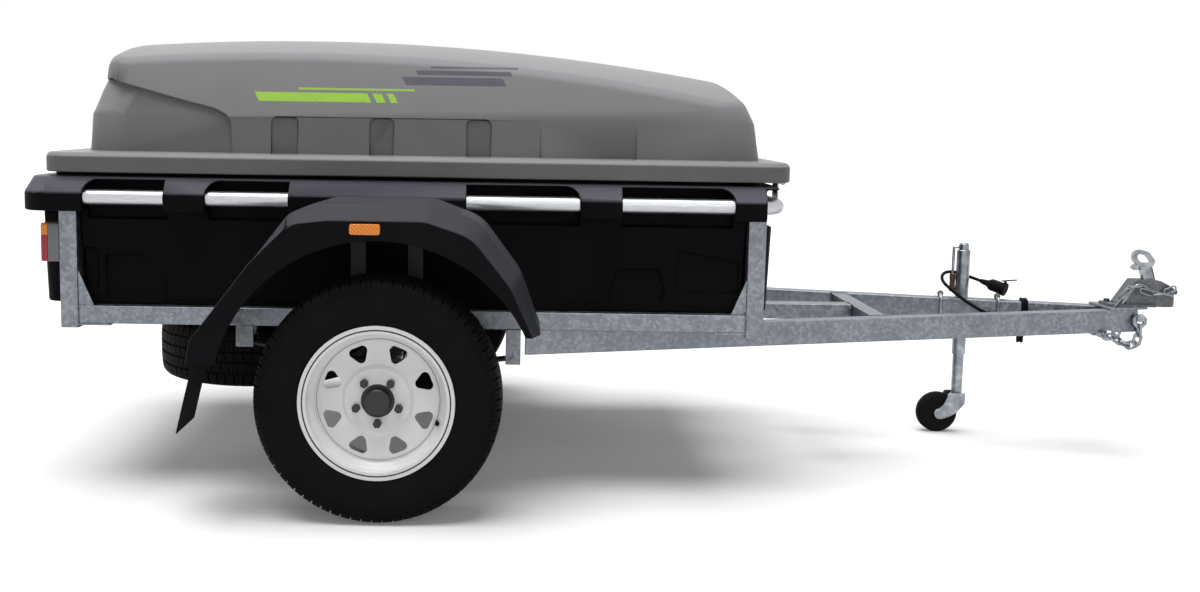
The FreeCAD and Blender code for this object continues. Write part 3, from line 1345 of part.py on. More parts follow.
def lid_body(wall, step=0, rear_inset=0, rear_lean=lid_rear_shoulder_inset):
    """The lid's walls above its flange: steep, then leaning in above the break, the rear wall by its own lean."""
    low_z = lid_flange_bottom_z - (overrun if wall else 0)
    base_z = lid_flange_bottom_z + lid_flange_height
    above_z = lid_crown_z + overrun
    rise_share = (above_z - lid_break_z) / (lid_shoulder_z - lid_break_z)
    lean = lid_break_inset + rise_share * (lid_shoulder_inset - lid_break_inset)
    back_lean = lid_break_inset + rise_share * (rear_lean - lid_break_inset)
    levels = []
    for z, inward, back in ((low_z, 0, 0), (base_z, 0, 0), (lid_break_z, lid_break_inset, lid_break_inset),
                            (above_z, lean, back_lean)):
        half = lid_wall_half_width - inward - wall - step
        corners = rectangle(lid_wall_rear_x + rear_inset + back + wall, lid_wall_front_x - inward - wall, -half, half)
        levels.append(level(outline(corners, lid_wall_corner - wall), z))
    return Part.makeLoft(levels, True, True)


def step_corners(grow):
    """Side outline of the lid's stepped rear corners, larger by a length."""
    base_z = lid_flange_bottom_z + lid_flange_height
    length, height = lid_wall_front_x - lid_wall_rear_x, lid_crown_z - base_z
    corners = [(lid_wall_rear_x + u * length, base_z + v * height) for u, v in lid_step_shares]
    return inset(corners, -grow)


def lid_step_cutter(wall):
    """What is taken off the lid's rear: the stepped corners' region, less the narrower body that stays there."""
    radii = [0, 0, lid_step_corner, lid_step_corner, 0, 0]
    inner_y = lid_wall_half_width - lid_break_inset - lid_step - wall
    region = prism_y(step_corners(wall), -inner_y, inner_y, radii)
    for sign in (1, -1):
        slope = []
        for y, grow in ((inner_y, wall), (inner_y + lid_step + lid_break_inset + overrun, lid_step_run + wall)):
            wire = outline(step_corners(grow), radii)
            wire.rotate(ORIGIN, FORWARD, HALF_TURN / 2)
            wire.translate(SIDEWAYS * sign * y)
            slope.append(wire)
        region = region.fuse(Part.makeLoft(slope, True, True))
    return region.cut(lid_body(wall, lid_step, lid_step_rear_inset, lid_step_rear_shoulder))


def lid_dome(wall):
    """The lid above its flange, as a solid; with a wall thickness it is the room inside."""
    dome = lid_body(wall).common(lid_roof(wall)).Solids[0]
    rounded = rounded_shoulder(dome, lid_shoulder_round - wall)
    return rounded.cut(lid_step_cutter(wall))


def rounded_shoulder(dome, radius):
    """The dome with the edge between its walls and its roof rounded."""
    edges = []
    for edge in dome.Edges:
        on_roof = [is_roof(face) for face in dome.ancestorsOfType(edge, Part.Face)]
        if edge.BoundBox.ZMin > lid_break_z and any(on_roof) and not all(on_roof):
            edges.append(edge)
    return dome.makeFillet(radius, edges)


def is_roof(face):
    """Whether a face is part of the lid's curved roof, which looks mostly upwards."""
    u0, u1, v0, v1 = face.ParameterRange
    tilt = math.degrees(face.normalAt((u0 + u1) / 2, (v0 + v1) / 2).getAngle(UP))
    return min(tilt, HALF_TURN - tilt) < roof_tilt_limit


def lid_recesses(grow, depth):
    """Cutters for the columns and the large pocket in the lid's side walls."""
    length = lid_wall_front_x - lid_wall_rear_x
    low_z = lid_flange_bottom_z + lid_flange_height
    inner_y = lid_wall_half_width - lid_break_inset - depth
    cutters = []
    for start, end in lid_column_shares + [lid_pocket_shares]:
        low_x, high_x = lid_wall_rear_x + start * length, lid_wall_rear_x + end * length
        pocket = end - start > 2 * (lid_column_shares[0][1] - lid_column_shares[0][0])
        high_z = lid_pocket_top_z if pocket else lid_column_top_z
        corners = rectangle(low_x - grow, high_x + grow, low_z - grow, high_z + grow)
        radii = [0, 0, lid_pocket_corner, lid_pocket_corner]
        cutter = prism_y(corners, inner_y, lid_half_width + overrun, radii)
        cutters += [cutter, mirrored(cutter)]
    return cutters


def lid():
    """The moulded lid: deep edge flange and domed, hollow body with recesses in its sides."""
    corners = rectangle(lid_rear_x, lid_front_x, -lid_half_width, lid_half_width)
    high_z = lid_flange_bottom_z + lid_flange_height
    upright = prism_z(corners, lid_flange_bottom_z, high_z - lid_flange_edge, lid_flange_corner)
    shoulder = Part.makeLoft([level(outline(corners, lid_flange_corner), high_z - lid_flange_edge),
                              level(outline(inset(corners, lid_flange_edge),
                                            lid_flange_corner - lid_flange_edge), high_z)], True, True)
    flange = upright.fuse(shoulder)
    dome = cut(lid_dome(0), lid_recesses(0, 0))
    room = cut(lid_dome(lid_wall), lid_recesses(lid_wall, lid_wall))
    return flange.fuse(dome).cut(room).removeSplitter()


# Lid hinges and latch

def hinge_places():
    return [-hinge_spacing / 2, hinge_spacing / 2]


def lid_hinge_brackets():
    """Leaves on the tub's rim with the outer knuckles and the pin of each hinge."""
    pieces = []
    half = hinge_leaf_width / 2
    knuckle_half = hinge_share * hinge_leaf_width / 2 + seat_gap
    for y in hinge_places():
        leaf = box(rim_front_x, rim_front_x + hinge_leaf_thickness, y - half, y + half,
                   rim_bevel_z - hinge_leaf_height, rim_bevel_z)
        arm = box(rim_front_x, hinge_x, y - half, y + half, hinge_z - hinge_leaf_thickness,
                  hinge_z + hinge_leaf_thickness)
        riser = box(rim_front_x, rim_front_x + hinge_leaf_thickness, y - half, y + half, rim_bevel_z, hinge_z)
        knuckle = rod(hinge_knuckle_radius, V(hinge_x, y - half, hinge_z), V(hinge_x, y + half, hinge_z))
        room = box(rim_front_x + hinge_leaf_thickness, hinge_x + 2 * hinge_knuckle_radius, y - knuckle_half,
                   y + knuckle_half, hinge_z - 2 * hinge_knuckle_radius, hinge_z + 2 * hinge_knuckle_radius)
        pin = rod(hinge_pin_radius, V(hinge_x, y - half, hinge_z), V(hinge_x, y + half, hinge_z))
        pieces.append(fuse([fuse([leaf, arm, riser, knuckle]).cut(room), pin]))
    return Part.makeCompound(pieces)


def lid_hinge_straps():
    """Leaves on the lid's flange with the middle knuckle of each hinge."""
    pieces = []
    half = hinge_share * hinge_leaf_width / 2
    for y in hinge_places():
        low_z = lid_flange_bottom_z + lid_flange_edge
        leaf = box(lid_front_x, lid_front_x + hinge_leaf_thickness, y - hinge_leaf_width / 2,
                   y + hinge_leaf_width / 2, low_z, lid_flange_bottom_z + lid_flange_height - lid_flange_edge)
        neck = box(lid_front_x, hinge_x + hinge_pin_radius, y - half, y + half, hinge_z,
                   low_z + hinge_leaf_thickness)
        knuckle = rod(hinge_knuckle_radius, V(hinge_x, y - half, hinge_z), V(hinge_x, y + half, hinge_z))
        bore = rod(hinge_pin_radius + running_gap, V(hinge_x, y - half - overrun, hinge_z),
                   V(hinge_x, y + half + overrun, hinge_z))
        pieces.append(fuse([leaf, neck, knuckle]).cut(bore))
    return Part.makeCompound(pieces)


def lid_latch():
    """Lock plate with a turning handle in the middle of the lid's rear flange."""
    middle_z = lid_flange_bottom_z + lid_flange_height / 2 - lid_flange_edge / 2
    half = latch_width / 2
    corners = rectangle(-half, half, middle_z - latch_height / 2 + lid_flange_edge / 2,
                        middle_z + latch_height / 2 - lid_flange_edge / 2)
    plate = prism_x(corners, lid_rear_x - latch_depth, lid_rear_x, latch_handle_radius)
    handle_x = lid_rear_x - latch_depth - latch_handle_gap - latch_handle_radius
    handle = rod(latch_handle_radius, V(handle_x, -latch_handle_length / 2, middle_z),
                 V(handle_x, latch_handle_length / 2, middle_z))
    boss = rod(latch_boss_radius, V(handle_x, 0, middle_z), V(lid_rear_x - latch_depth / 2, 0, middle_z))
    return fuse([plate, handle, boss])


# Guards

def guard_corners(bevel=0):
    """Side outline of a guard as (x, z) corners, from the rear foot over the top to the front foot."""
    corners = []
    for degrees, radius, share in zip(guard_angles, guard_radii, guard_bevel_shares):
        angle, reach = math.radians(degrees), radius - bevel * share
        corners.append((reach * math.cos(angle), axle_z + reach * math.sin(angle)))
    (front_x, front_z), (rear_x, rear_z) = corners[-1], corners[0]
    return corners + [(front_x, front_z - guard_foot_overrun), (rear_x, rear_z - guard_foot_overrun)]


def guard():
    """Left wheel guard: a thin moulded arch, bevelled along its outer top edge, with a deep outer lip."""
    radii = guard_corners_round + [0, 0]
    bevel_y = guard_outer_y - guard_bevel_width

    def blank(wall):
        corners = inset(guard_corners(), wall)
        shrunk = inset(guard_corners(guard_bevel_drop), wall)
        inner_radii = [max(radius - wall, 0) for radius in radii]
        low_y = guard_inner_y - (overrun if wall else 0)
        arch = prism_y(corners, low_y, bevel_y, inner_radii)
        bevel = []
        for wire, y in ((outline(corners, inner_radii), bevel_y),
                        (outline(shrunk, inner_radii), guard_outer_y - wall)):
            wire.rotate(ORIGIN, FORWARD, HALF_TURN / 2)
            wire.translate(SIDEWAYS * y)
            bevel.append(wire)
        return arch.fuse(Part.makeLoft(bevel, True, True))

    shell = blank(0).cut(blank(guard_wall))
    low_y, high_y = guard_inner_y - overrun, guard_outer_y + overrun
    opening = rod(arch_radius, V(0, low_y, axle_z), V(0, high_y, axle_z))
    between_feet = box(-arch_radius, arch_radius, low_y, high_y, 0, axle_z)
    rear_z, front_z = guard_corners()[0][1], guard_corners()[len(guard_radii) - 1][1]
    below_rear = box(-2 * arch_radius, 0, low_y, high_y, 0, rear_z)
    below_front = box(0, 2 * arch_radius, low_y, high_y, 0, front_z)
    return cut(shell, [opening, between_feet, below_rear, below_front])


def guard_brackets():
    """Two arms on each side, from the side rail up beside the rim and out under the guard's top."""
    pieces = []
    top_z = max(z for _, z in guard_corners()) - guard_wall - seat_gap
    high_y = guard_bracket_y + steel_plate
    for middle_x in (-guard_bracket_spacing / 2, guard_bracket_spacing / 2):
        low_x, high_x = middle_x - guard_bracket_width / 2, middle_x + guard_bracket_width / 2
        foot = box(low_x, high_x, frame_half_width, high_y, rail_bottom_z + rail_wall,
                   rail_bottom_z + rail_wall + steel_plate)
        pad = box(low_x, high_x, frame_half_width, frame_half_width + steel_plate,
                  rail_bottom_z + rail_wall, rail_top_z - rail_wall)
        upright = box(low_x, high_x, guard_bracket_y, high_y, rail_bottom_z + rail_wall, top_z)
        arm = box(low_x, high_x, guard_bracket_y, guard_bracket_y + guard_bracket_reach,
                  top_z - steel_plate, top_z)
        pieces.append(fuse([foot, pad, upright, arm]))
    return both_sides(Part.makeCompound(pieces))


def marker_lamp():
    low_x = marker_x - marker_length / 2
    low_z = marker_z - marker_height / 2
    corners = rectangle(low_x, low_x + marker_length, low_z, low_z + marker_height)
    return prism_y(corners, guard_outer_y, guard_outer_y + marker_depth, lamp_corner)


def mud_flap():
    """Rubber flap that hangs inside the guard's rear foot and slants back."""
    inner_x, top_z = inset(guard_corners(), guard_wall)[1]
    low_x, foot_x = inner_x + seat_gap, inner_x + seat_gap - flap_slant
    foot_z = inset(guard_corners(), guard_wall)[0][1]
    corners = [(low_x, foot_z), (low_x, top_z), (low_x + flap_thickness, top_z), (low_x + flap_thickness, foot_z),
               (foot_x + flap_thickness, flap_bottom_z), (foot_x, flap_bottom_z)]
    return prism_y(corners, flap_inner_y, flap_outer_y)


# Tail lamps

def tail_lamp_housing():
    low_y = frame_half_width - lamp_width
    corners = rectangle(low_y, frame_half_width, lamp_top_z - lamp_height, lamp_top_z)
    return prism_x(corners, frame_rear_x - lamp_housing_depth, frame_rear_x, lamp_corner)


def tail_lamp_lenses():
    """Amber lens above the red one."""
    low_y = frame_half_width - lamp_width
    split_z = lamp_top_z - lamp_amber_share * lamp_height
    high_x = frame_rear_x - lamp_housing_depth
    low_x = high_x - lamp_lens_depth
    amber = prism_x(rectangle(low_y, frame_half_width, split_z, lamp_top_z), low_x, high_x,
                    [0, 0, lamp_corner, lamp_corner])
    red = prism_x(rectangle(low_y, frame_half_width, lamp_top_z - lamp_height, split_z), low_x, high_x,
                  [lamp_corner, lamp_corner, 0, 0])
    return amber, red


def build():
    os.makedirs("parts", exist_ok=True)
    rail, bar = side_rail(), drawbar_rail()
    export("side_rail_left", rail)
    export("side_rail_right", mirrored(rail))
    export("cross_members", cross_members())
    export("corner_posts", corner_posts())
    export("drawbar_rail_left", bar)
    export("drawbar_rail_right", mirrored(bar))
    export("drawbar_cross_brace", drawbar_cross_brace())
    export("drawbar_centre_brace", drawbar_centre_brace())
    export("nose_plate", nose_plate())
    export("coupling_body", coupling_body())
    export("coupling_lever", coupling_lever())
    export("coupling_bail", coupling_bail())
    export("safety_chains", both_sides(safety_chain()))
    export("lead_clip", lead_clip())
    export("lead_coil", lead_coil())
    export("lead_tube", lead_tube())
    export("lead_plug", lead_plug())
    export("jockey_tube", jockey_tube())
    export("jockey_clamp", jockey_clamp())
    export("jockey_crank", jockey_crank())
    export("jockey_inner_tube", jockey_inner_tube())
    export("jockey_fork", jockey_fork())
    export("jockey_wheel", jockey_wheel())
    wheel_tyre, wheel_rim, wheel_hub = tyre(), rim(), hub()
    for piece, name in ((wheel_tyre, "tyre"), (wheel_rim, "rim"), (wheel_hub, "hub")):
        export(name + "_left", at_left_wheel(piece))
        export(name + "_right", at_right_wheel(piece))
    export("spare_tyre", at_spare(wheel_tyre))
    export("spare_rim", at_spare(wheel_rim))
    export("spare_carrier", spare_carrier())
    export("axle", axle())
    leaf = spring()
    export("spring_left", leaf)
    export("spring_right", mirrored(leaf))
    export("spring_hangers", spring_hangers())
    export("spring_clamps", spring_clamps())
    export("tub", tub())
    export("handrail", handrail())
    export("lid_seal", lid_seal())
    export("lid", lid())
    export("lid_hinge_brackets", lid_hinge_brackets())
    export("lid_hinge_straps", lid_hinge_straps())
    export("lid_latch", lid_latch())
    arch = guard()
    export("guard_left", arch)
    export("guard_right", mirrored(arch))
    export("guard_brackets", guard_brackets())
    export("marker_lamps", both_sides(marker_lamp()))
    export("mud_flaps", both_sides(mud_flap()))
    export("tail_lamp_housings", both_sides(tail_lamp_housing()))
    amber, red = tail_lamp_lenses()
    export("tail_lamp_lenses_amber", both_sides(amber))
    export("tail_lamp_lenses_red", both_sides(red))


build()
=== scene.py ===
# %% [markdown]
# # A small luggage trailer
# The trailer is a moulded black tub with a grey hinged lid, on a galvanised
# steel frame with a drawbar. Its exact shapes come from the CAD model, which
# Blender loads as a fixed frame. This script gives every piece its finish and
# adds the small things that a CAD model leaves out: tread, bolts, weld beads,
# a small chain and a lead. Everything is in metres, and +X points forward.

# %% Load the CAD frame
import json
import math

import bmesh
import bpy
import numpy as np
from mathutils import Matrix, Vector


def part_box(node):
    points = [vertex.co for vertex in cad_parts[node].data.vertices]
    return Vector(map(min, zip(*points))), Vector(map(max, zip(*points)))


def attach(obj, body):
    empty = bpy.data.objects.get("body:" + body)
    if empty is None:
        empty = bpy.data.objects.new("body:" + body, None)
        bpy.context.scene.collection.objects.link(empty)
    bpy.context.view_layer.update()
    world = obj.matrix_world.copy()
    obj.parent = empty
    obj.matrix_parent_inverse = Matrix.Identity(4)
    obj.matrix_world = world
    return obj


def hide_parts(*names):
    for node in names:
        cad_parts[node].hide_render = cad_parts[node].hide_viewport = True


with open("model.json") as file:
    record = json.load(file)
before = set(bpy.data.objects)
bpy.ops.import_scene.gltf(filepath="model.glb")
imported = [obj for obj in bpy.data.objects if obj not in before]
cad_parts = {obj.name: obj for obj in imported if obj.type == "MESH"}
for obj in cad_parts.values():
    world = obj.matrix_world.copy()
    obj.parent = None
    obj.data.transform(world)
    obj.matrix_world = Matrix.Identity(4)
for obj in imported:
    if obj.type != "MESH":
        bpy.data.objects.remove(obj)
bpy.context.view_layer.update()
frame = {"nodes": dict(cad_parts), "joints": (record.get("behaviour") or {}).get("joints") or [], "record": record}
nodes = frame["nodes"]

# %% [markdown]
# The drawings of a trailer are measured from its axle, in millimetres. The
# frame's own origin is in the middle of the overall length, so one helper
# turns axle measures to scene metres. The axle's place is read from the
# wheel's joint, so a change in the CAD moves the pieces here with it.

# %% From axle millimetres to scene metres
joints = {joint["name"]: joint for joint in frame["joints"]}
axle_x, wheel_centre_y, axle_z = joints["wheel_left_spin"]["pos_m"]


def spot(x, y, z):
    """A place given in millimetres ahead of, left of and above the ground point under the axle."""
    return Vector((axle_x + x / 1000, y / 1000, z / 1000))


print("axle at", [round(v, 4) for v in (axle_x, axle_z)], "wheels at +-", wheel_centre_y)

# %% [markdown]
# Materials are built from nodes, and small helpers keep the cells short. One
# turns an sRGB hex colour, as a paint chart gives it, to the linear values
# that the renderer counts with. One adds a node with its settings, and links
# or sets its inputs. The others stand for what most finishes need: the place
# on the piece, noise with a grain in millimetres, a ramp of colours, one
# colour laid over another, and relief that catches the light.

# %% Colour and node helpers
def linear(code):
    """An sRGB hex colour as linear RGBA, by the curve of the sRGB standard."""
    parts = [int(code[i:i + 2], 16) / 255 for i in (1, 3, 5)]
    return (*[p / 12.92 if p <= 0.04045 else ((p + 0.055) / 1.055) ** 2.4 for p in parts], 1.0)


def add(tree, kind, inputs=None, **settings):
    """Adds one node. Inputs are values, or sockets to link from."""
    made = tree.nodes.new(kind)
    for name, value in settings.items():
        setattr(made, name, value)
    for key, value in (inputs or {}).items():
        if isinstance(value, bpy.types.NodeSocket):
            tree.links.new(value, made.inputs[key])
        else:
            made.inputs[key].default_value = value
    return made


def finish(name, **sockets):
    """A material with a Principled shader whose own sockets take these constants."""
    material = bpy.data.materials.new(name)
    material.use_nodes = True
    shader = material.node_tree.nodes["Principled BSDF"]
    for key, value in sockets.items():
        shader.inputs[key.replace("_", " ")].default_value = value
    return material, material.node_tree, shader


def feed(tree, shader, **sockets):
    """Links these sockets to a shader's inputs."""
    for key, socket in sockets.items():
        tree.links.new(socket, shader.inputs[key.replace("_", " ")])


def coordinates(tree, kind="Object"):
    """The place on the piece, or another kind of coordinates."""
    return add(tree, "ShaderNodeTexCoord").outputs[kind]


def axes(tree, vector):
    """The three parts of a vector."""
    return list(add(tree, "ShaderNodeSeparateXYZ", {"Vector": vector}).outputs)


def arithmetic(tree, kind, first, second=0.0):
    """One arithmetic node."""
    return add(tree, "ShaderNodeMath", {0: first, 1: second}, operation=kind).outputs[0]


def greatest(tree, values):
    """The greatest of several values."""
    total = values[0]
    for value in values[1:]:
        total = arithmetic(tree, "MAXIMUM", total, value)
    return total


def rescaled(tree, value, old, new):
    """A value carried from an old range to a new one."""
    made = add(tree, "ShaderNodeMapRange", {
        "Value": value, "From Min": old[0], "From Max": old[1], "To Min": new[0], "To Max": new[1]})
    return made.outputs["Result"]


def size(millimetres):
    """A texture scale whose pattern repeats about once in this many millimetres."""
    return 1000 / millimetres


def noise(tree, place, grain_mm, detail, roughness=0.5):
    """Grey noise at a place, with its grain in millimetres."""
    made = add(tree, "ShaderNodeTexNoise", {
        "Vector": place, "Scale": size(grain_mm), "Detail": detail, "Roughness": roughness})
    return made.outputs["Fac"]


def ramp(tree, factor, *stops):
    """A colour ramp through (place, hex colour) stops."""
    made = add(tree, "ShaderNodeValToRGB", {"Fac": factor})
    band = made.color_ramp
    while len(band.elements) < len(stops):
        band.elements.new(0.5)
    for element, (place, code) in zip(band.elements, stops):
        element.position, element.color = place, linear(code)
    return made.outputs["Color"]


def laid_over(tree, share, below, above):
    """One colour laid over another by a share from zero to one."""
    return add(tree, "ShaderNodeMix", {0: share, 6: below, 7: above}, data_type="RGBA").outputs[2]


def relief(tree, height, strength, depth_mm, under=None):
    """Normals that make a height texture catch the light, over other normals where they are given."""
    inputs = {"Height": height, "Strength": strength, "Distance": depth_mm / 1000}
    if under is not None:
        inputs["Normal"] = under
    return add(tree, "ShaderNodeBump", inputs).outputs["Normal"]


print("white is", linear("#ffffff"))

# %% [markdown]
# ## Camera
# The camera stands nearly four metres to the trailer's right and a metre up,
# looking slightly down. Its lens and place were solved from straight lines
# and circles of the real trailer. The picture is an off-centre crop, which
# the lens shift gives without turning the camera.

# %% Camera at the photograph's place
picture_width, picture_height = 1200, 592
focal_pixels = 1250
centre_pixel = (530.8, 250.3)
sensor_width = 36
stand = spot(357, -3870, 1026)
yaw, pitch, roll = (math.radians(a) for a in (0.348, 6.179, 0.94))

ahead = Vector((math.sin(yaw) * math.cos(pitch), math.cos(yaw) * math.cos(pitch), -math.sin(pitch)))
level = Vector((math.cos(yaw), -math.sin(yaw), 0))
upward = level.cross(ahead)
right = math.cos(roll) * level + math.sin(roll) * upward
top = math.cos(roll) * upward - math.sin(roll) * level

camera = bpy.data.objects.new("camera", bpy.data.cameras.new("camera"))
bpy.context.scene.collection.objects.link(camera)
camera.matrix_world = Matrix.Translation(stand) @ Matrix((right, top, -ahead)).transposed().to_4x4()
camera.data.sensor_width = sensor_width
camera.data.lens = focal_pixels / picture_width * sensor_width
camera.data.shift_x = (picture_width / 2 - centre_pixel[0]) / picture_width
camera.data.shift_y = (centre_pixel[1] - picture_height / 2) / picture_width
bpy.context.scene.camera = camera
print("lens", camera.data.lens, "shift", round(camera.data.shift_x, 4), round(camera.data.shift_y, 4))

# %% [markdown]
# ## Light and floor
# The light is that of a white studio: a broad soft lamp overhead, weaker ones
# in front and behind, and a pale world all round. Sun lamps with a wide angle
# act as very large soft boxes and light near and far pieces alike. The white
# behind the trailer is only what the camera and the gloss see of the world.
# All other rays meet a dim one, so walls stay darker than what faces up.

# %% World and lamps
scene = bpy.context.scene
scene.view_settings.view_transform = "Standard"


def rays(tree, *kinds):
    """One for rays of these kinds, and zero for the others."""
    path = add(tree, "ShaderNodeLightPath").outputs
    return greatest(tree, [path[f"Is {kind} Ray"] for kind in kinds])


world = bpy.data.worlds.new("studio")
scene.world = world
world.use_nodes = True
sky = world.node_tree
sky.nodes.clear()
soft_air = add(sky, "ShaderNodeBackground", {"Color": linear("#f4f6fa"), "Strength": 0.13})
white_air = add(sky, "ShaderNodeBackground", {"Color": linear("#ffffff"), "Strength": 1.0})
air = add(sky, "ShaderNodeMixShader", {
    0: rays(sky, "Camera", "Glossy", "Transmission"), 1: soft_air.outputs[0], 2: white_air.outputs[0]})
add(sky, "ShaderNodeOutputWorld", {"Surface": air.outputs[0]})


def lamp(name, strength, direction, spread):
    """A white sun lamp that shines along a direction, as soft as its spread in degrees."""
    data = bpy.data.lights.new(name, "SUN")
    data.energy, data.angle = strength, math.radians(spread)
    made = bpy.data.objects.new(name, data)
    scene.collection.objects.link(made)
    made.rotation_euler = Vector(direction).to_track_quat("-Z", "Y").to_euler()


lamp("overhead_box", 3.3, (0.10, 0.06, -1.0), 50)
lamp("front_box", 0.40, (-0.25, 1.0, -0.5), 40)
lamp("rear_fill", 0.45, (0.4, -1.0, -0.5), 60)

# %% [markdown]
# The floor is pale matt vinyl. The camera and the gloss see it nearly white,
# as in the studio. The light that bounces off it meets a darker grey, so that
# it doesn't brighten the walls from below.

# %% Floor
floor_half = 60
floor_glow = 0.10
floor_finish, tree, shader = finish("studio_floor_matt_vinyl", Roughness=0.9, Specular_IOR_Level=0.1)
grain = add(tree, "ShaderNodeTexNoise", {"Scale": 3.0, "Detail": 3.0}).outputs["Fac"]
seen = rays(tree, "Camera", "Glossy")
bounced = ramp(tree, grain, (0.3, "#c2c2c4"), (0.7, "#c8c8c9"))
feed(tree, shader, Base_Color=laid_over(tree, seen, bounced, linear("#f6f6f6")))
glow = add(tree, "ShaderNodeEmission", {
    "Color": linear("#ffffff"), "Strength": arithmetic(tree, "MULTIPLY", seen, floor_glow)})
lit = add(tree, "ShaderNodeAddShader", {0: shader.outputs[0], 1: glow.outputs[0]})
tree.links.new(lit.outputs[0], tree.nodes["Material Output"].inputs["Surface"])

floor = bpy.data.objects.new("floor", bpy.data.meshes.new("floor"))
corners = [(x * floor_half, y * floor_half, 0) for x, y in ((-1, -1), (1, -1), (1, 1), (-1, 1))]
floor.data.from_pydata(corners, [], [(0, 1, 2, 3)])
floor.data.materials.append(floor_finish)
scene.collection.objects.link(floor)
print("floor", tuple(floor.dimensions))

# %% [markdown]
# ## Galvanised steel
# The frame was welded and then dipped in molten zinc. The zinc freezes in
# flat crystals about a centimetre wide, the spangle, and each one throws the
# light a little differently. A Voronoi texture gives such cells: each cell's
# random grey tints the metal, and a slow noise lays the dull stains of the
# dip over it.

# %% Hot-dip galvanised finish
spangle_mm = 9


def spangled(name, dark, middle, pale, roughness):
    """Hot-dip zinc with its spangle, in three greys."""
    material, tree, shader = finish(name, Metallic=1.0, Roughness=roughness)
    place = coordinates(tree)
    bend = add(tree, "ShaderNodeTexNoise", {"Vector": place, "Scale": size(25), "Detail": 2.0})
    shifted = add(tree, "ShaderNodeMixRGB", {"Fac": 0.012, "Color1": place, "Color2": bend.outputs["Color"]},
                  blend_type="ADD")
    cells = add(tree, "ShaderNodeTexVoronoi", {
        "Vector": shifted.outputs["Color"], "Scale": size(spangle_mm), "Randomness": 1.0})
    grey = add(tree, "ShaderNodeSeparateColor", {"Color": cells.outputs["Color"]}).outputs["Red"]
    stain = noise(tree, place, 90, 6.0, 0.65)
    mixed = add(tree, "ShaderNodeMix", {"Factor": 0.62, "A": grey, "B": stain}).outputs["Result"]
    feed(tree, shader, Base_Color=ramp(tree, mixed, (0.22, dark), (0.5, middle), (0.78, pale)),
         Roughness=rescaled(tree, mixed, (0.25, 0.75), (roughness - 0.08, roughness + 0.14)),
         Normal=relief(tree, stain, 0.12, 2))
    return material


galvanised = spangled("galvanised_steel_hot_dip", "#686c72", "#777b81", "#91959a", 0.4)
print(galvanised.name, "spangle", spangle_mm, "mm")

# %% [markdown]
# ## Zinc plate and brushed aluminium
# The coupling and the jockey wheel are electroplated: the zinc is thin,
# bright and slightly blue, and follows every mark of the casting under it.
# The rails in the rim are aluminium tube, drawn and then brushed along its
# length, so its scratches are a noise stretched along the tube.

# %% Zinc plated and aluminium finishes
zinc, tree, shader = finish("zinc_plated_steel_bright", Metallic=1.0, Roughness=0.3)
place = coordinates(tree)
cloud = noise(tree, place, 30, 5.0, 0.6)
feed(tree, shader, Base_Color=ramp(tree, cloud, (0.3, "#70757b"), (0.55, "#8f949a"), (0.75, "#b2b6bb")),
     Normal=relief(tree, noise(tree, place, 2.5, 2.0), 0.10, 1))

aluminium, tree, shader = finish("aluminium_tube_brushed", Metallic=1.0, Roughness=0.36)
drawn = add(tree, "ShaderNodeMapping", {"Vector": coordinates(tree), "Scale": (6.0, 160.0, 160.0)})
scratches = noise(tree, drawn.outputs["Vector"], 250, 3.0)
feed(tree, shader, Base_Color=ramp(tree, scratches, (0.3, "#a9abae"), (0.7, "#c6c7c9")),
     Normal=relief(tree, scratches, 0.08, 0.5))
print(zinc.name, aluminium.name)

# %% [markdown]
# ## Moulded plastics
# The tub, the lid and the guards are polyethylene, made by tumbling powder in
# a hot mould. Nothing is polished: the skin copies the mould's blasted face,
# a grain of about a millimetre, and the wall wanders gently because it is not
# pressed from both sides. So one builder gives a fine bump, a slow wave and a
# faint change of tone, and each plastic gets its own colours and grain. What
# faces up is made paler, more the flatter it lies: partly dust, and partly a
# painted highlight of the overhead light. On the tub only the rim is high
# enough to be made paler.

# %% Rotationally moulded polyethylene
no_dust_or_highlight = ("#8a8a90", 0.0, -1.0)


def moulded(name, deep, plain, grain_mm, roughness, specular, bite, dust_and_highlight=no_dust_or_highlight):
    """Plastic with a blasted skin. The paling of upward faces, dust and painted highlight, is a colour, its share
    on level skin, and its lowest height.
    """
    material, tree, shader = finish(name, Roughness=roughness, Specular_IOR_Level=specular)
    place = coordinates(tree)
    dust_and_highlight_colour, level_share, start_height = dust_and_highlight
    # Upward faces turn paler, partly dust and partly a painted highlight of the overhead lamp.
    facing_up = axes(tree, coordinates(tree, "Normal"))[2]
    dust_and_highlight_share = rescaled(tree, facing_up, (0.08, 0.60), (0.0, level_share))
    high = arithmetic(tree, "GREATER_THAN", axes(tree, place)[2], start_height)
    tone = ramp(tree, noise(tree, place, 260, 4.0), (0.32, deep), (0.68, plain))
    pores = noise(tree, place, grain_mm, 3.0, 0.7)
    wave = relief(tree, noise(tree, place, 180, 1.0), 0.25, 4)
    feed(tree, shader,
         Base_Color=laid_over(tree, arithmetic(tree, "MULTIPLY", dust_and_highlight_share, high), tone, linear(dust_and_highlight_colour)),
         Roughness=rescaled(tree, pores, (0.3, 0.7), (roughness - 0.06, roughness + 0.06)),
         Normal=relief(tree, pores, bite, 1, under=wave))
    return material


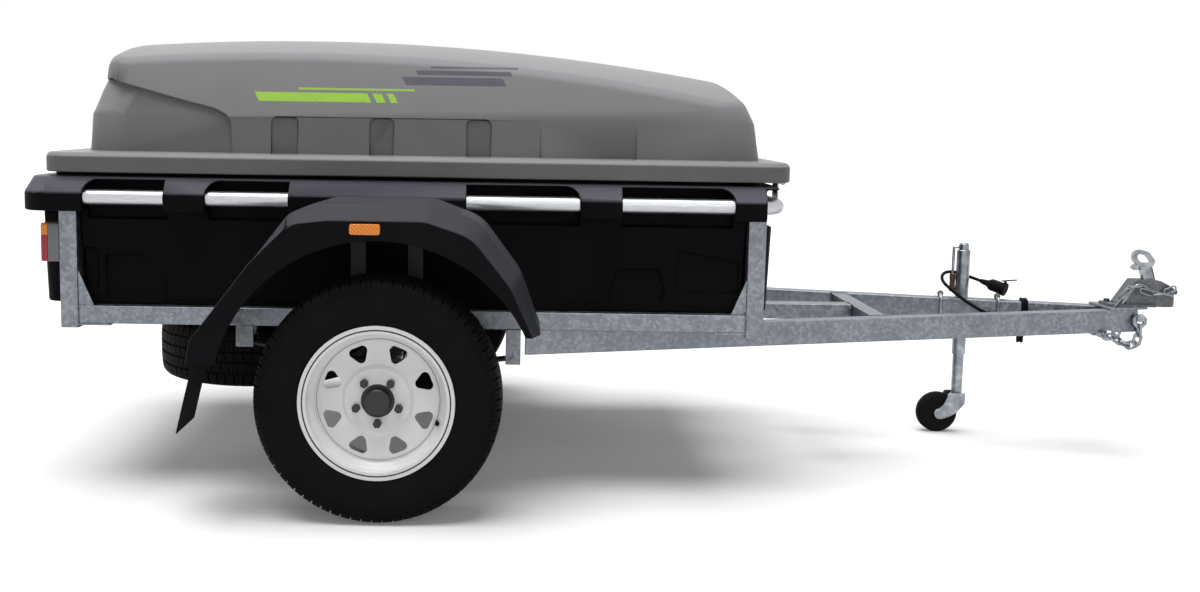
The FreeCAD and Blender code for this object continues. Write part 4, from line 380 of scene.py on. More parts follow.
# The paler upward faces are dust and a painted highlight: the lid's top, the guards' tops, and the tub's rim
# bevel, where it is mostly painted highlight.
lid_plastic = moulded("grey_polyethylene_rotomoulded", "#656362", "#6d6b6a", 1.6, 0.5, 0.25, 0.35,
                      dust_and_highlight=("#9c9b9f", 0.5, -1.0))
tub_plastic = moulded("black_polyethylene_rotomoulded", "#0c0c0e", "#121214", 1.6, 0.5, 0.03, 0.3,
                      dust_and_highlight=("#74747d", 0.9, 0.80))
guard_plastic = moulded("black_guard_plastic_leather_grain", "#0c0c0e", "#121215", 2.6, 0.46, 0.05, 0.6,
                        dust_and_highlight=("#48484e", 0.85, -1.0))
lamp_plastic = moulded("grey_lamp_plastic_moulded", "#6f7174", "#7a7c7f", 0.9, 0.45, 0.4, 0.2)
print([m.name for m in (lid_plastic, tub_plastic, guard_plastic, lamp_plastic)])

# %% [markdown]
# ## Rubber
# Tyre rubber is black with carbon, and dull, with a faint bloom where the
# wax comes out and dust lies. The seal, the mud flaps and the jockey wheel
# are a plainer rubber.

# %% Tyre and moulded rubber
def rubber(name, black, bloom, roughness, grain_mm):
    """Carbon-black rubber with a dusty bloom."""
    material, tree, shader = finish(name, Roughness=roughness, Specular_IOR_Level=0.07)
    place = coordinates(tree)
    feed(tree, shader, Base_Color=ramp(tree, noise(tree, place, 120, 8.0, 0.7), (0.35, black), (0.75, bloom)),
         Normal=relief(tree, noise(tree, place, grain_mm, 2.0), 0.25, 1))
    return material


tyre_rubber = rubber("tyre_rubber_moulded", "#080809", "#111111", 0.66, 2.0)
plain_rubber = rubber("black_rubber_moulded", "#0e0e10", "#1a1a1b", 0.7, 1.5)
print(tyre_rubber.name, plain_rubber.name)

# %% [markdown]
# ## Paints and lenses
# The wheels are pressed steel under white enamel, glossy and a little wavy
# like orange peel. The springs and the hub caps are painted black. The lamp
# lenses are acrylic, coloured in the mass, with fine ribs that break up the
# light.

# %% Enamel, black paint and lens finishes
def painted(name, dark, plain, roughness, peel):
    """Gloss or satin paint with an orange-peel skin."""
    material, tree, shader = finish(name, Roughness=roughness)
    place = coordinates(tree)
    feed(tree, shader, Base_Color=ramp(tree, noise(tree, place, 60, 5.0), (0.3, dark), (0.65, plain)),
         Normal=relief(tree, noise(tree, place, 5, 1.0), peel, 1))
    return material


def lens(name, deep, bright):
    """Ribbed acrylic, coloured in the mass."""
    material, tree, shader = finish(name, Roughness=0.2, Coat_Weight=0.1)
    ribs = add(tree, "ShaderNodeTexWave", {"Vector": coordinates(tree), "Scale": size(5) * math.pi / 10,
                                           "Distortion": 0.0}, bands_direction="DIAGONAL", wave_profile="SIN")
    feed(tree, shader, Base_Color=ramp(tree, ribs.outputs["Fac"], (0.1, deep), (0.9, bright)),
         Normal=relief(tree, ribs.outputs["Fac"], 0.4, 1))
    return material


white_enamel = painted("white_enamel_on_steel", "#eceded", "#f4f4f3", 0.2, 0.05)
hub_black = painted("black_paint_hub", "#060607", "#0d0d0e", 0.4, 0.1)
spring_black = painted("black_paint_spring_steel", "#0a0a0b", "#131314", 0.6, 0.2)
amber = lens("amber_acrylic_lens", "#ec7a00", "#ff9c14")
red = lens("red_acrylic_lens", "#8a0814", "#c01020")
print([m.name for m in (white_enamel, hub_black, spring_black, amber, red)])

# %% [markdown]
# ## Give every CAD piece its finish
# The record names a slot for each piece, which says what it is made of. A
# CAD piece whose shape is right needs no more than that.

# %% Finishes by slot
finishes = {
    "galvanised_steel": galvanised, "zinc_plated_steel": zinc, "handrail_tube": aluminium,
    "tyre_rubber": tyre_rubber, "black_rubber": plain_rubber, "white_wheel_paint": white_enamel,
    "hub_paint": hub_black, "spring_steel": spring_black, "black_polyethylene": tub_plastic,
    "grey_polyethylene": lid_plastic, "black_guard_plastic": guard_plastic,
    "grey_lamp_plastic": lamp_plastic, "amber_lens": amber, "red_lens": red,
}
slots = {part["node"]: part["material_slot"] for part in frame["record"]["subparts"]}
bodies = {node: body for body, members in frame["record"]["behaviour"]["bodies"].items() for node in members}
for name, piece in nodes.items():
    piece.data.materials.clear()
    piece.data.materials.append(finishes[slots[name]])
print(len(nodes), "CAD pieces finished")

# %% [markdown]
# ## Soften the edges
# No edge of a moulded or rolled piece is knife sharp: it catches a thin line
# of light, and that line tells the eye what the piece is made of. The CAD
# mesh is loose triangles, so a copy is merged and its flat faces are joined
# again. A Bevel modifier then rounds only the sharp edges. The copy replaces
# the CAD piece, which stays in the frame for collision.

# %% A softened copy of a CAD piece
same_place, flat_angle = 1e-5, math.radians(0.3)


def piece_from(mesh, name, material, body, smooth_angle=40):
    """Links a mesh as a named piece of a body, with smooth shading up to an angle."""
    made = bpy.data.objects.new(name, mesh)
    scene.collection.objects.link(made)
    mesh.materials.clear()
    mesh.materials.append(material)
    mesh.shade_smooth()
    mesh.set_sharp_from_angle(angle=math.radians(smooth_angle))
    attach(made, body)
    return made


def merged(node):
    """A bmesh of a CAD node with its triangles joined and its flat faces whole."""
    solid = bmesh.new()
    solid.from_mesh(nodes[node].data)
    bmesh.ops.remove_doubles(solid, verts=solid.verts, dist=same_place)
    bmesh.ops.dissolve_limit(solid, angle_limit=flat_angle, verts=solid.verts, edges=solid.edges)
    return solid


def mesh_of(solid, name):
    """Writes a bmesh to a named mesh and frees it."""
    made = bpy.data.meshes.new(name)
    solid.to_mesh(made)
    solid.free()
    return made


def softened(node, width_mm, clamp=False, sculpt=None):
    """Replaces a CAD node by a copy with rounded edges, after a sculpting rule has moved its points."""
    solid = merged(node)
    if sculpt:
        sculpt(solid)
    sharp_angle = 30
    made = piece_from(mesh_of(solid, node + "_soft"), node + "_soft", finishes[slots[node]], bodies[node],
                      smooth_angle=sharp_angle)
    bevel = made.modifiers.new("rounded edges", "BEVEL")
    bevel.width, bevel.segments = width_mm / 1000, 2
    bevel.limit_method, bevel.angle_limit = "ANGLE", math.radians(sharp_angle)
    bevel.use_clamp_overlap = clamp
    bevel.harden_normals = True
    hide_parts(node)


print("softening works on", len(nodes), "nodes")

# %% [markdown]
# The lid's tail is sculpted a little more than the CAD lid. On the real lid
# the upper body ends about two centimetres further forward, and the wall
# under it swells back to meet it, so that only a crease is left between the
# two. The crease runs level round the tail and then down along the sides. At
# its height the upper body's points are those further out, towards the tail
# and the corners. Each of the two is moved along the trailer by an amount
# that depends on the height and fades out round the corners.

# %% Sculpt the lid's tail
tail_rear, tail_front = spot(-768, 0, 0).x, spot(-735, 0, 0).x
crease_bend, ledge_middle = spot(-770, 0, 0).x, spot(-783, 0, 0).x
crease_level, crease_fall, crease_reach, ledge_corner = 1.1056, 0.263, 0.004, 0.430
wall_heights = (0.905, 0.925, 1.0, 1.037, 1.072, 1.106)
wall_shifts = (0.0, -0.009, -0.012, -0.014, -0.019, -0.020)
upper_heights = (1.107, 1.15, 1.178, 1.195, 1.25)
upper_shifts = (0.017, 0.014, 0.009, 0.005, 0.0)


def on_upper_body(place):
    """Tells whether a point of the lid's tail is on the upper body, and not on the wall under it."""
    crease = crease_level - crease_fall * max(0.0, place.x - crease_bend)
    if abs(place.z - crease) > crease_reach:
        return place.z > crease
    return place.x < ledge_middle or abs(place.y) > ledge_corner + place.x - crease_bend


def sculpt_tail(solid):
    """Moves the points of the lid's tail fore and aft."""
    for vertex in solid.verts:
        place = vertex.co
        if place.x < tail_front and place.z > wall_heights[0]:
            fade = min(1.0, (tail_front - place.x) / (tail_front - tail_rear))
            upper = on_upper_body(place)
            heights, shifts = (upper_heights, upper_shifts) if upper else (wall_heights, wall_shifts)
            place.x += fade * fade * (3 - 2 * fade) * float(np.interp(place.z, heights, shifts))


softened("lid", 4, sculpt=sculpt_tail)
print("lid tail", [round(v, 3) for v in (tail_rear, tail_front)])

# %% [markdown]
# The other pieces follow, each with the radius of its own edges. Moulded and
# rolled pieces are cleanly cut and take it whole. On the smaller ones, where
# edges lie close together, the modifier clamps the radius to the room that
# there is. The coupling's body is a casting, whose zinc is duller and darker
# than that of the rolled steel, so it gets a finish of its own.

# %% Soften the other pieces
whole_widths = {
    "tub": 5, "guard_left": 3, "guard_right": 3, "side_rail_left": 3, "side_rail_right": 3,
    "drawbar_rail_left": 3, "drawbar_rail_right": 3, "drawbar_cross_brace": 3, "drawbar_centre_brace": 3,
    "cross_members": 3, "corner_posts": 1, "tail_lamp_housings": 2, "tail_lamp_lenses_amber": 2,
    "tail_lamp_lenses_red": 2, "marker_lamps": 1.5, "mud_flaps": 1.5, "rim_left": 0.8, "rim_right": 0.8,
    "spare_rim": 0.8,
}
clamped_widths = {
    "handrail": 0.8, "nose_plate": 1.2, "spare_carrier": 1, "axle": 2, "spring_left": 0.8,
    "spring_right": 0.8, "spring_hangers": 1.2, "spring_clamps": 1, "guard_brackets": 1, "hub_left": 1,
    "hub_right": 1, "lid_hinge_brackets": 0.6, "lid_hinge_straps": 0.6, "lid_latch": 1.2, "lid_seal": 1,
    "coupling_body": 1.6, "coupling_lever": 1.8, "coupling_bail": 0.6, "jockey_tube": 0.6,
    "jockey_clamp": 1, "jockey_crank": 0.6, "jockey_inner_tube": 0.6, "jockey_wheel": 1.5,
    "lead_clip": 0.8, "lead_plug": 1.4, "safety_chains": 2.6,
}
for widths, clamp in ((whole_widths, False), (clamped_widths, True)):
    for node, width in widths.items():
        softened(node, width, clamp=clamp)
cast_steel = spangled("cast_steel_dull_zinc", "#4a4b4d", "#58595c", "#6c6e71", 0.46)
scene.objects["coupling_body_soft"].data.materials[0] = cast_steel

# %% [markdown]
# ## Tyres
# A tyre is a smooth carcass with a tread that repeats: one pitch, a few
# centimetres of blocks and slots, goes round it some seventy times. The
# carcass is a profile spun round the axle. One pitch of the tread is drawn
# as blocks, and Geometry Nodes set it round the carcass by a rule: as many
# copies as there are pitches, each turned by its share of the circle. The
# one tyre then serves the two road wheels and the spare.

# %% Tree: repeat a pitch round an axle
def new_tree(name, *inputs):
    """An empty Geometry Nodes tree whose named inputs are a shape, these and a finish, and their sockets."""
    tree = bpy.data.node_groups.new(name, "GeometryNodeTree")
    tree.interface.new_socket("Geometry", in_out="INPUT", socket_type="NodeSocketGeometry")
    for label, kind in (("Shape", "Object"), *inputs, ("Finish", "Material")):
        tree.interface.new_socket(label, in_out="INPUT", socket_type="NodeSocket" + kind)
    tree.interface.new_socket("Geometry", in_out="OUTPUT", socket_type="NodeSocketGeometry")
    return tree, add(tree, "NodeGroupInput").outputs


def repeated(tree, given, points, rotation):
    """The tree's shape on each point, turned by a rotation."""
    shape = add(tree, "GeometryNodeObjectInfo", {"Object": given["Shape"]}, transform_space="ORIGINAL")
    copies = add(tree, "GeometryNodeInstanceOnPoints", {
        "Points": points, "Instance": shape.outputs["Geometry"], "Rotation": rotation})
    return copies.outputs[0]


def close_tree(tree, given, geometry):
    """Ends a tree: real geometry instead of instances, with its material."""
    real = add(tree, "GeometryNodeRealizeInstances", {"Geometry": geometry})
    coated = add(tree, "GeometryNodeSetMaterial", {"Geometry": real.outputs[0], "Material": given["Finish"]})
    add(tree, "NodeGroupOutput", {"Geometry": coated.outputs[0]})


round_tree, given = new_tree("repeat_round_axle", ("Count", "Int"))
places = add(round_tree, "GeometryNodePoints", {"Count": given["Count"]})
step = arithmetic(round_tree, "DIVIDE", 2 * math.pi, given["Count"])
index = add(round_tree, "GeometryNodeInputIndex").outputs[0]
turn = add(round_tree, "FunctionNodeAxisAngleToRotation", {
    "Axis": (0, 1, 0), "Angle": arithmetic(round_tree, "MULTIPLY", index, step)})
copies = repeated(round_tree, given, places.outputs[0], turn.outputs[0])
whole = add(round_tree, "GeometryNodeJoinGeometry", {"Geometry": given["Geometry"]})
round_tree.links.new(copies, whole.inputs["Geometry"])
close_tree(round_tree, given, whole.outputs[0])


def grown(mesh, tree, shape, **values):
    """The plain mesh that a tree makes from a mesh and the shape that it repeats."""
    holders = [bpy.data.objects.new(data.name, data) for data in (mesh, shape)]
    for holder in holders:
        scene.collection.objects.link(holder)
    modifier = holders[0].modifiers.new("tree", "NODES")
    modifier.node_group = tree
    values["Shape"] = holders[1]
    for item in tree.interface.items_tree:
        if item.in_out == "INPUT" and item.name in values:
            modifier[item.identifier] = values[item.name]
    graph = bpy.context.evaluated_depsgraph_get()
    result = bpy.data.meshes.new_from_object(holders[0].evaluated_get(graph))
    for holder in holders:
        bpy.data.objects.remove(holder)
    return result


def triangles(mesh):
    """How many triangles a mesh's faces make."""
    return sum(len(face.vertices) - 2 for face in mesh.polygons)


print("tree inputs", [i.name for i in round_tree.interface.items_tree])

# %% [markdown]
# The carcass stands out furthest at mid height, turns under the rim's
# flange, and carries two thin rings and a raised band near the shoulder.
# Each number pair is the distance from the tyre's middle and from the axle.

# %% Carcass profile spun round the axle
def skin(solid, rings, closed=True, looped=True):
    """Faces between neighbouring rings of points. A ring may be closed, and the last may join the first."""
    pairs = zip(rings, rings[1:] + rings[:1]) if looped else zip(rings, rings[1:])
    for ring, following in pairs:
        for k in range(len(ring) if closed else len(ring) - 1):
            j = (k + 1) % len(ring)
            solid.faces.new((ring[k], ring[j], following[j], following[k]))


def wheel_point(solid, y, radius, angle):
    """A point at a side and a radius in millimetres, at an angle round the axle."""
    return solid.verts.new((radius / 1000 * math.sin(angle), y / 1000, radius / 1000 * math.cos(angle)))


def spun(profile, steps):
    """A mesh spun round the axle from a closed profile of (side, radius) pairs in millimetres."""
    solid = bmesh.new()
    skin(solid, [[wheel_point(solid, y, radius, 2 * math.pi * k / steps) for y, radius in profile]
                 for k in range(steps)])
    bmesh.ops.recalc_face_normals(solid, faces=solid.faces)
    return mesh_of(solid, "spun")


outboard = [(60, 179), (78, 179), (84, 184), (84.5, 196), (86.5, 199), (88.5, 205), (90.3, 214),
            (91.8, 225), (92.6, 236), (93, 247), (93, 256), (92.6, 262), (93.4, 263), (93.4, 265.5),
            (92.2, 266.5), (91.4, 272), (90.2, 277), (91.2, 278), (91.2, 281), (89.4, 282), (87.2, 288),
            (83.5, 293.5), (78, 298), (70, 300.6), (50, 302.4), (25, 303), (0, 303.2)]
profile = outboard + [(-y, r) for y, r in reversed(outboard[:-1])]
carcass_steps = 144
carcass = spun(profile, carcass_steps)
print("carcass faces", len(carcass.polygons))

# %% [markdown]
# One pitch of the tread. The shoulder block wraps over the edge onto the
# sidewall, where thin fins stand between the slots, as on tyres for wet and
# loose roads. The middle ribs lean the other way. A block is a closed
# outline across the tyre, swept along a part of the pitch.

# %% One pitch of tread blocks
pitches = 72
pitch_angle = 2 * math.pi / pitches


def block(solid, outline, start, end, lean=0.0):
    """Adds a tread block: (side, radius) pairs swept between two shares of the pitch, askew by a lean."""
    ends = [[wheel_point(solid, y, radius, (share + lean * y / 100) * pitch_angle) for y, radius in outline]
            for share in (start, end)]
    solid.faces.new(ends[0])
    solid.faces.new(ends[1][::-1])
    skin(solid, ends, looped=False)


def tread_pitch():
    """The blocks of one pitch. The two sides of the tread are half a pitch apart."""
    solid = bmesh.new()
    shoulder = [(52, 301), (52, 309.2), (60, 308.6), (70, 307), (78, 303.4), (84, 297.6), (86.5, 292.5),
                (82, 291)]
    fin = [(80, 292), (84, 297.2), (87.6, 290.5), (89.2, 285), (88.2, 283.5), (84, 286)]
    rib = [(19, 301.5), (19, 310.8), (32, 310.5), (44, 309.8), (44, 301)]
    middle = [(-11, 301.5), (-11, 311), (11, 311), (11, 301.5)]
    blocks = [(shoulder, 0.08, 0.5, 0.0), (shoulder, 0.53, 0.9, 0.0), (fin, 0.08, 0.28, 0.0),
              (fin, 0.36, 0.56, 0.0), (fin, 0.64, 0.84, 0.0), (rib, 0.3, 0.72, 0.9), (rib, 0.77, 1.18, 0.9)]
    for side, shift in ((1, 0.0), (-1, 0.5)):
        for outline, start, end, lean in blocks:
            mirrored = [(side * y, radius) for y, radius in outline]
            block(solid, mirrored, shift + start, shift + end, side * lean)
    block(solid, middle, 0.05, 0.92, lean=-1.4)
    bmesh.ops.recalc_face_normals(solid, faces=solid.faces)
    return mesh_of(solid, "tread_pitch")


road_tyre = grown(carcass, round_tree, tread_pitch(), Count=pitches, Finish=tyre_rubber)
print("tyre triangles about", triangles(road_tyre))

# %% [markdown]
# The same tyre goes on the two road wheels and, laid flat, on the spare.
# Each is a copy of the mesh, moved to where the CAD tyre is.

# %% Fit the tyres
def fit_tyre(node, lay_flat=False):
    """Puts a copy of the road tyre where a CAD tyre is."""
    low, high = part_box(node)
    mesh = road_tyre.copy()
    if lay_flat:
        mesh.transform(Matrix.Rotation(-math.pi / 2, 4, "X"))
    mesh.transform(Matrix.Translation((low + high) / 2))
    made = piece_from(mesh, node + "_treaded", tyre_rubber, bodies[node], smooth_angle=35)
    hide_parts(node)


for node in ("tyre_left", "tyre_right"):
    fit_tyre(node)
fit_tyre("spare_tyre", lay_flat=True)
print("tyres fitted")

# %% [markdown]
# ## The lead
# A round rubber lead feeds the trailer's lamps. It comes out of a saddle clip
# on the left rail, is wound twice round the rail so that it hangs a little
# below it, and swings back past the jockey wheel to its plug, which lies on
# the clamp. A NURBS curve of order three runs smoothly near its points, as a
# heavy lead does, so the turns and the loose stretch are one spline. The
# points of the turns are one outline repeated by a loop, each time a lead's
# width further along the rail.

# %% A place on the left drawbar rail
rail_slope = 0.28
along = Vector((1, -rail_slope, 0)).normalized()
outward = Vector((rail_slope, 1, 0)).normalized()
jockey_place = Vector(joints["jockey_swivel"]["pos_m"])
jockey_standoff = 0.032
rail_foot = jockey_place - outward * jockey_standoff


def on_rail(u, v, z):
    """A place along the rail from the jockey wheel, out from its face and above the ground, in mm."""
    place = rail_foot + along * (u / 1000) + outward * (v / 1000)
    return Vector((place.x, place.y, z / 1000))


print("rail foot", [round(c, 4) for c in rail_foot])

# %% [markdown]
# The points come in four groups: out of the clip, the turns round the rail,
# back along the rail's inner face, and the free loop to the plug. The loop's
# points are those of the CAD lead, measured from the axle.

# %% The lead's points
lead_diameter = 10.5
coil_front = 199.5
turns = 2
turn_outline = [(-55.5, 418), (-55, 444), (-50, 460), (-34, 461.6), (-12, 461.6), (2, 459), (5.5, 440),
                (5.5, 408), (2, 376), (-12, 342), (-25, 320), (-38, 342), (-52, 376)]
lead_way = [on_rail(*point) for point in ((coil_front, -59.3, 400), (197, -58.5, 401.5), (195, -56.5, 407))]
for k in range(turns * len(turn_outline)):
    v, z = turn_outline[k % len(turn_outline)]
    lead_way.append(on_rail(coil_front - lead_diameter * (0.5 + k / len(turn_outline)), v, z))
lead_way += [on_rail(*point) for point in ((172, -55.5, 394), (164, -55.5, 399), (144, -55.5, 400))]
lead_way += [spot(*point) for point in (
    (1888, 80.5, 404), (1846, 88, 417), (1806, 102, 438), (1770, 120, 464), (1742, 146, 489),
    (1729, 177, 508), (1736, 208, 522), (1757, 235, 531), (1787, 250, 531), (1819, 248, 524),
    (1844, 231, 514.5), (1867, 211, 506.6))]

lead_curve = bpy.data.curves.new("lead", "CURVE")
lead_curve.dimensions = "3D"
spline = lead_curve.splines.new("NURBS")
spline.points.add(len(lead_way) - 1)
for point, place in zip(spline.points, lead_way):
    point.co = (*place, 1)
spline.order_u = 3
spline.use_endpoint_u = True
spline.resolution_u = 8
lead = bpy.data.objects.new("lead", lead_curve)
scene.collection.objects.link(lead)
centreline = bpy.data.meshes.new_from_object(lead)
bpy.data.meshes.remove(centreline)
lead_curve.bevel_depth = lead_diameter / 2000
lead_curve.bevel_resolution = 4
lead_curve.use_fill_caps = True

# %% [markdown]
# The lead takes the plain rubber and rides with the chassis. The CAD lead's
# tube and coil are hidden, since the curve takes their place.

lead_curve.materials.append(plain_rubber)
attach(lead, "chassis")
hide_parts("lead_tube", "lead_coil")

# %% [markdown]
# ## Stripes on the lid
# The lid wears thin vinyl in two colours: a lime band whose front end breaks
# up into slanted bars, and graphite bands above it. The vinyl has no height
# that shows, so it is a mask in the lid's colour: a window in height and in a
# slanted length, both read from Object coordinates, so the stripes stay put
# on the lid when it opens. They lie on the skin that faces out and not on the
# lid's lining. Old vinyl is scuffed, so a fine noise eats it.

# %% Vinyl stripes painted into the lid's plastic
lid_tree = lid_plastic.node_tree
lid_shader = lid_tree.nodes["Principled BSDF"]
bare_colour = lid_shader.inputs["Base Color"].links[0].from_socket
where = coordinates(lid_tree)
lid_x, lid_y, lid_z = axes(lid_tree, where)
slant = 0.55
side_reach = 0.42


def figure(kind, first, second=0.0):
    """One arithmetic node in the lid's tree."""
    return arithmetic(lid_tree, kind, first, second)


def both(first, second):
    """One where two masks are both one."""
    return figure("MULTIPLY", first, second)


def between(value, low, high):
    """One where a value lies between two limits."""
    return both(figure("GREATER_THAN", value, low), figure("LESS_THAN", value, high))


slanted = figure("ADD", lid_x, figure("MULTIPLY", lid_z, slant))


def bands(*windows):
    """One within any of these windows: rear, front, low and high, in millimetres from axle and ground."""
    masks = []
    for rear_mm, front_mm, low_mm, high_mm in windows:
        shift = slant * (low_mm + high_mm) / 2000
        rear, front = (spot(x, 0, 0).x + shift for x in (rear_mm, front_mm))
        masks.append(both(between(slanted, rear, front), between(lid_z, low_mm / 1000, high_mm / 1000)))
    return greatest(lid_tree, masks)


lime_mask = bands((-360, -60, 1052, 1076), (-46, -22, 1052, 1076), (-8, 10, 1052, 1076),
                  (-250, 60, 1084, 1089))
graphite_mask = bands((30, 300, 1100, 1122), (64, 318, 1128, 1140), (100, 336, 1146, 1152))
facing_y = axes(lid_tree, coordinates(lid_tree, "Normal"))[1]
outer_skin = figure("GREATER_THAN", figure("MULTIPLY", lid_y, facing_y), 0.0)
far_out = figure("GREATER_THAN", figure("ABSOLUTE", lid_y), side_reach)
scuffs = noise(lid_tree, where, 3, 6.0, 0.8)
wear = noise(lid_tree, where, 55, 2.0)
uneaten = figure("LESS_THAN", figure("ADD", scuffs, figure("MULTIPLY", wear, 0.5)), 0.86)
vinyl = both(both(far_out, outer_skin), uneaten)
limed = laid_over(lid_tree, both(lime_mask, vinyl), bare_colour, linear("#9ccb45"))
striped = laid_over(lid_tree, both(graphite_mask, vinyl), limed, linear("#55545e"))
feed(lid_tree, lid_shader, Base_Color=striped)
print("stripes on", lid_plastic.name)

# %% [markdown]
# ## Lines and valves on the wheels
# Each rim has a thin dark line just inside its flange and a grey one where
# the disc is pressed in, both drawn into the enamel's colour. Both are circles,
# so the enamel's colour is chosen by the distance from the wheel's own axle: a
# Mapping node moves the pattern's centre there. Each wheel needs its own copy
# of the enamel, since its centre is a value in it.

# %% Enamel with two drawn circles
# A dark circle just inside the flange and a grey one where the disc is pressed in, drawn into the enamel's colour.
rim_circles = ((183.7, 1.9, "#1c1d1f"), (154.5, 1.0, "#a4a6a9"))


def lined_enamel(name, centre, flat=False):
    """White enamel with a dark and a grey circle drawn round a wheel's centre, upright or laid flat."""
    material = white_enamel.copy()
    material.name = name
    tree = material.node_tree
    shader = tree.nodes["Principled BSDF"]
    colour = shader.inputs["Base Color"].links[0].from_socket
    wheel_plane = (1, 1, 0) if flat else (1, 0, 1)
    centred = add(tree, "ShaderNodeMapping", {"Vector": coordinates(tree), "Location": [-c for c in centre]})
    flattened = add(tree, "ShaderNodeVectorMath", {0: centred.outputs["Vector"], 1: wheel_plane},
                    operation="MULTIPLY")
    distance = add(tree, "ShaderNodeVectorMath", {0: flattened.outputs["Vector"]}, operation="LENGTH")
    for radius_mm, half_mm, code in rim_circles:
        off = arithmetic(tree, "SUBTRACT", distance.outputs["Value"], radius_mm / 1000)
        near = arithmetic(tree, "LESS_THAN", arithmetic(tree, "ABSOLUTE", off), half_mm / 1000)
        colour = laid_over(tree, near, colour, linear(code))
    feed(tree, shader, Base_Color=colour)
    return material


for node, flat in (("rim_left", False), ("rim_right", False), ("spare_rim", True)):
    low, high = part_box(node)
    lined = lined_enamel("white_enamel_" + node, (low + high) / 2, flat)
    scene.objects[node + "_soft"].data.materials[0] = lined
print("lined rims", [m.name for m in bpy.data.materials if m.name.startswith("white_enamel_")])

# %% [markdown]
# A rubber snap-in valve sits at the front of each disc, a little below the
# axle: a bulb against the steel, a stem and a dust cap. It is a small profile
# turned about its own middle, and the crank's grip is made in the same way.

# %% Valve stems
def turned(profile, steps, place, name):
    """A mesh turned about Z from (height, radius) pairs in millimetres, and then put in its place."""
    solid = bmesh.new()
    skin(solid, [[solid.verts.new(Vector((r * math.cos(a), r * math.sin(a), h)) / 1000) for h, r in profile]
                 for a in (2 * math.pi * k / steps for k in range(steps))], closed=False)
    bmesh.ops.remove_doubles(solid, verts=solid.verts, dist=1e-6)
    bmesh.ops.dissolve_degenerate(solid, edges=solid.edges, dist=1e-7)
    bmesh.ops.transform(solid, matrix=place, verts=solid.verts)
    bmesh.ops.recalc_face_normals(solid, faces=solid.faces)
    return mesh_of(solid, name)


valve_profile = [(0, 0), (0, 8.2), (3, 8.2), (6, 6.4), (9, 5.2), (24, 4.6), (24, 5.4), (26, 5.6), (33, 5.4),
                 (35, 4.2), (35, 0)]
valve_x, valve_z, disc_depth, valve_steps = 0.149, -0.055, 0.028, 20
for word, side in (("right", -1), ("left", 1)):
    seat = Vector((axle_x + valve_x, side * (wheel_centre_y + disc_depth), axle_z + valve_z))
    lying = Matrix.Rotation(-side * math.pi / 2, 4, "X")
    name = f"rim_{word}_valve"
    stem = piece_from(turned(valve_profile, valve_steps, Matrix.Translation(seat) @ lying, name), name,
                      plain_rubber, f"wheel_{word}", smooth_angle=50)
print("valves set")

# %% [markdown]
# ## The jockey wheel's fork
# The fork is folded from sheet, and its cheeks sweep back from under the tube
# to the axle. The CAD fork has the pin, the stem and the crown in place, with
# plainer cheeks. So a merged copy of it keeps those, and two cheeks with the
# real outline are drawn over the plain ones, a hair thicker. A Bevel modifier
# then breaks the edges of the whole.

# %% Folded cheeks over the plain fork
cheek_outline = [(-34, 10), (-30, 14), (18, 14), (21, 10), (20, -22), (-8, -54), (-30, -66), (-54, -74),
                 (-68, -73), (-77, -64), (-78, -52), (-70, -42), (-54, -34), (-44, -14)]
cheek_inner, cheek_outer = 24.3, 28.7


def plate(solid, outline, low_y, high_y):
    """Adds a flat plate: an outline of (forward, up) pairs between two sides, in metres."""
    sides = [[solid.verts.new((x, y, z)) for x, z in outline] for y in (low_y, high_y)]
    faces = [solid.faces.new(sides[0]), solid.faces.new(sides[1][::-1])]
    for k in range(len(outline)):
        j = (k + 1) % len(outline)
        faces.append(solid.faces.new((sides[0][j], sides[0][k], sides[1][k], sides[1][j])))
    bmesh.ops.recalc_face_normals(solid, faces=faces)


fork_solid = merged("jockey_fork")
outline = [(jockey_place.x + x / 1000, jockey_place.z + z / 1000) for x, z in cheek_outline]
for side in (-1, 1):
    plate(fork_solid, outline, *sorted(jockey_place.y + side * y / 1000 for y in (cheek_inner, cheek_outer)))
fork = piece_from(mesh_of(fork_solid, "jockey_fork_folded"), "jockey_fork_folded", zinc, "jockey_fork",
                  smooth_angle=30)
rounded = fork.modifiers.new("rounded edges", "BEVEL")
rounded.width, rounded.segments, rounded.limit_method = 0.001, 2, "ANGLE"
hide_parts("jockey_fork")
print("fork outline", len(cheek_outline), "points, swivel at", [round(c, 3) for c in jockey_place])

# %% [markdown]
# ## Weld beads
# The frame was welded before it was dipped, and a weld shows as a row of
# small overlapping ripples under the zinc. A path of edges is resampled every
# few millimetres and a flattened bead is set on each point, turned along the
# path. The small chain further on is spaced along its curve in the same way.

# %% Tree: weld beads along a path
def spaced_path(tree, given):
    """Points a pitch apart on the tree's path, and the rotation that turns Z along it."""
    path = add(tree, "GeometryNodeMeshToCurve", {"Mesh": given["Geometry"]})
    points = add(tree, "GeometryNodeResampleCurve", {"Curve": path.outputs[0], "Length": given["Pitch"]},
                 mode="LENGTH")
    tangent = add(tree, "GeometryNodeInputTangent")
    onward = add(tree, "FunctionNodeAlignRotationToVector", {"Vector": tangent.outputs[0]}, axis="Z")
    return points.outputs[0], onward.outputs[0]


weld_tree, given = new_tree("weld_along_path", ("Pitch", "Float"))
close_tree(weld_tree, given, repeated(weld_tree, given, *spaced_path(weld_tree, given)))
print("weld tree", [i.name for i in weld_tree.interface.items_tree])

# %% [markdown]
# The seams that show are those where the nose plate, the cross brace and the
# corner posts meet the rails, and where the centre brace meets the cross
# brace. Each is a path through a few points, in millimetres from the axle,
# and all but the last have a twin on the trailer's other side.

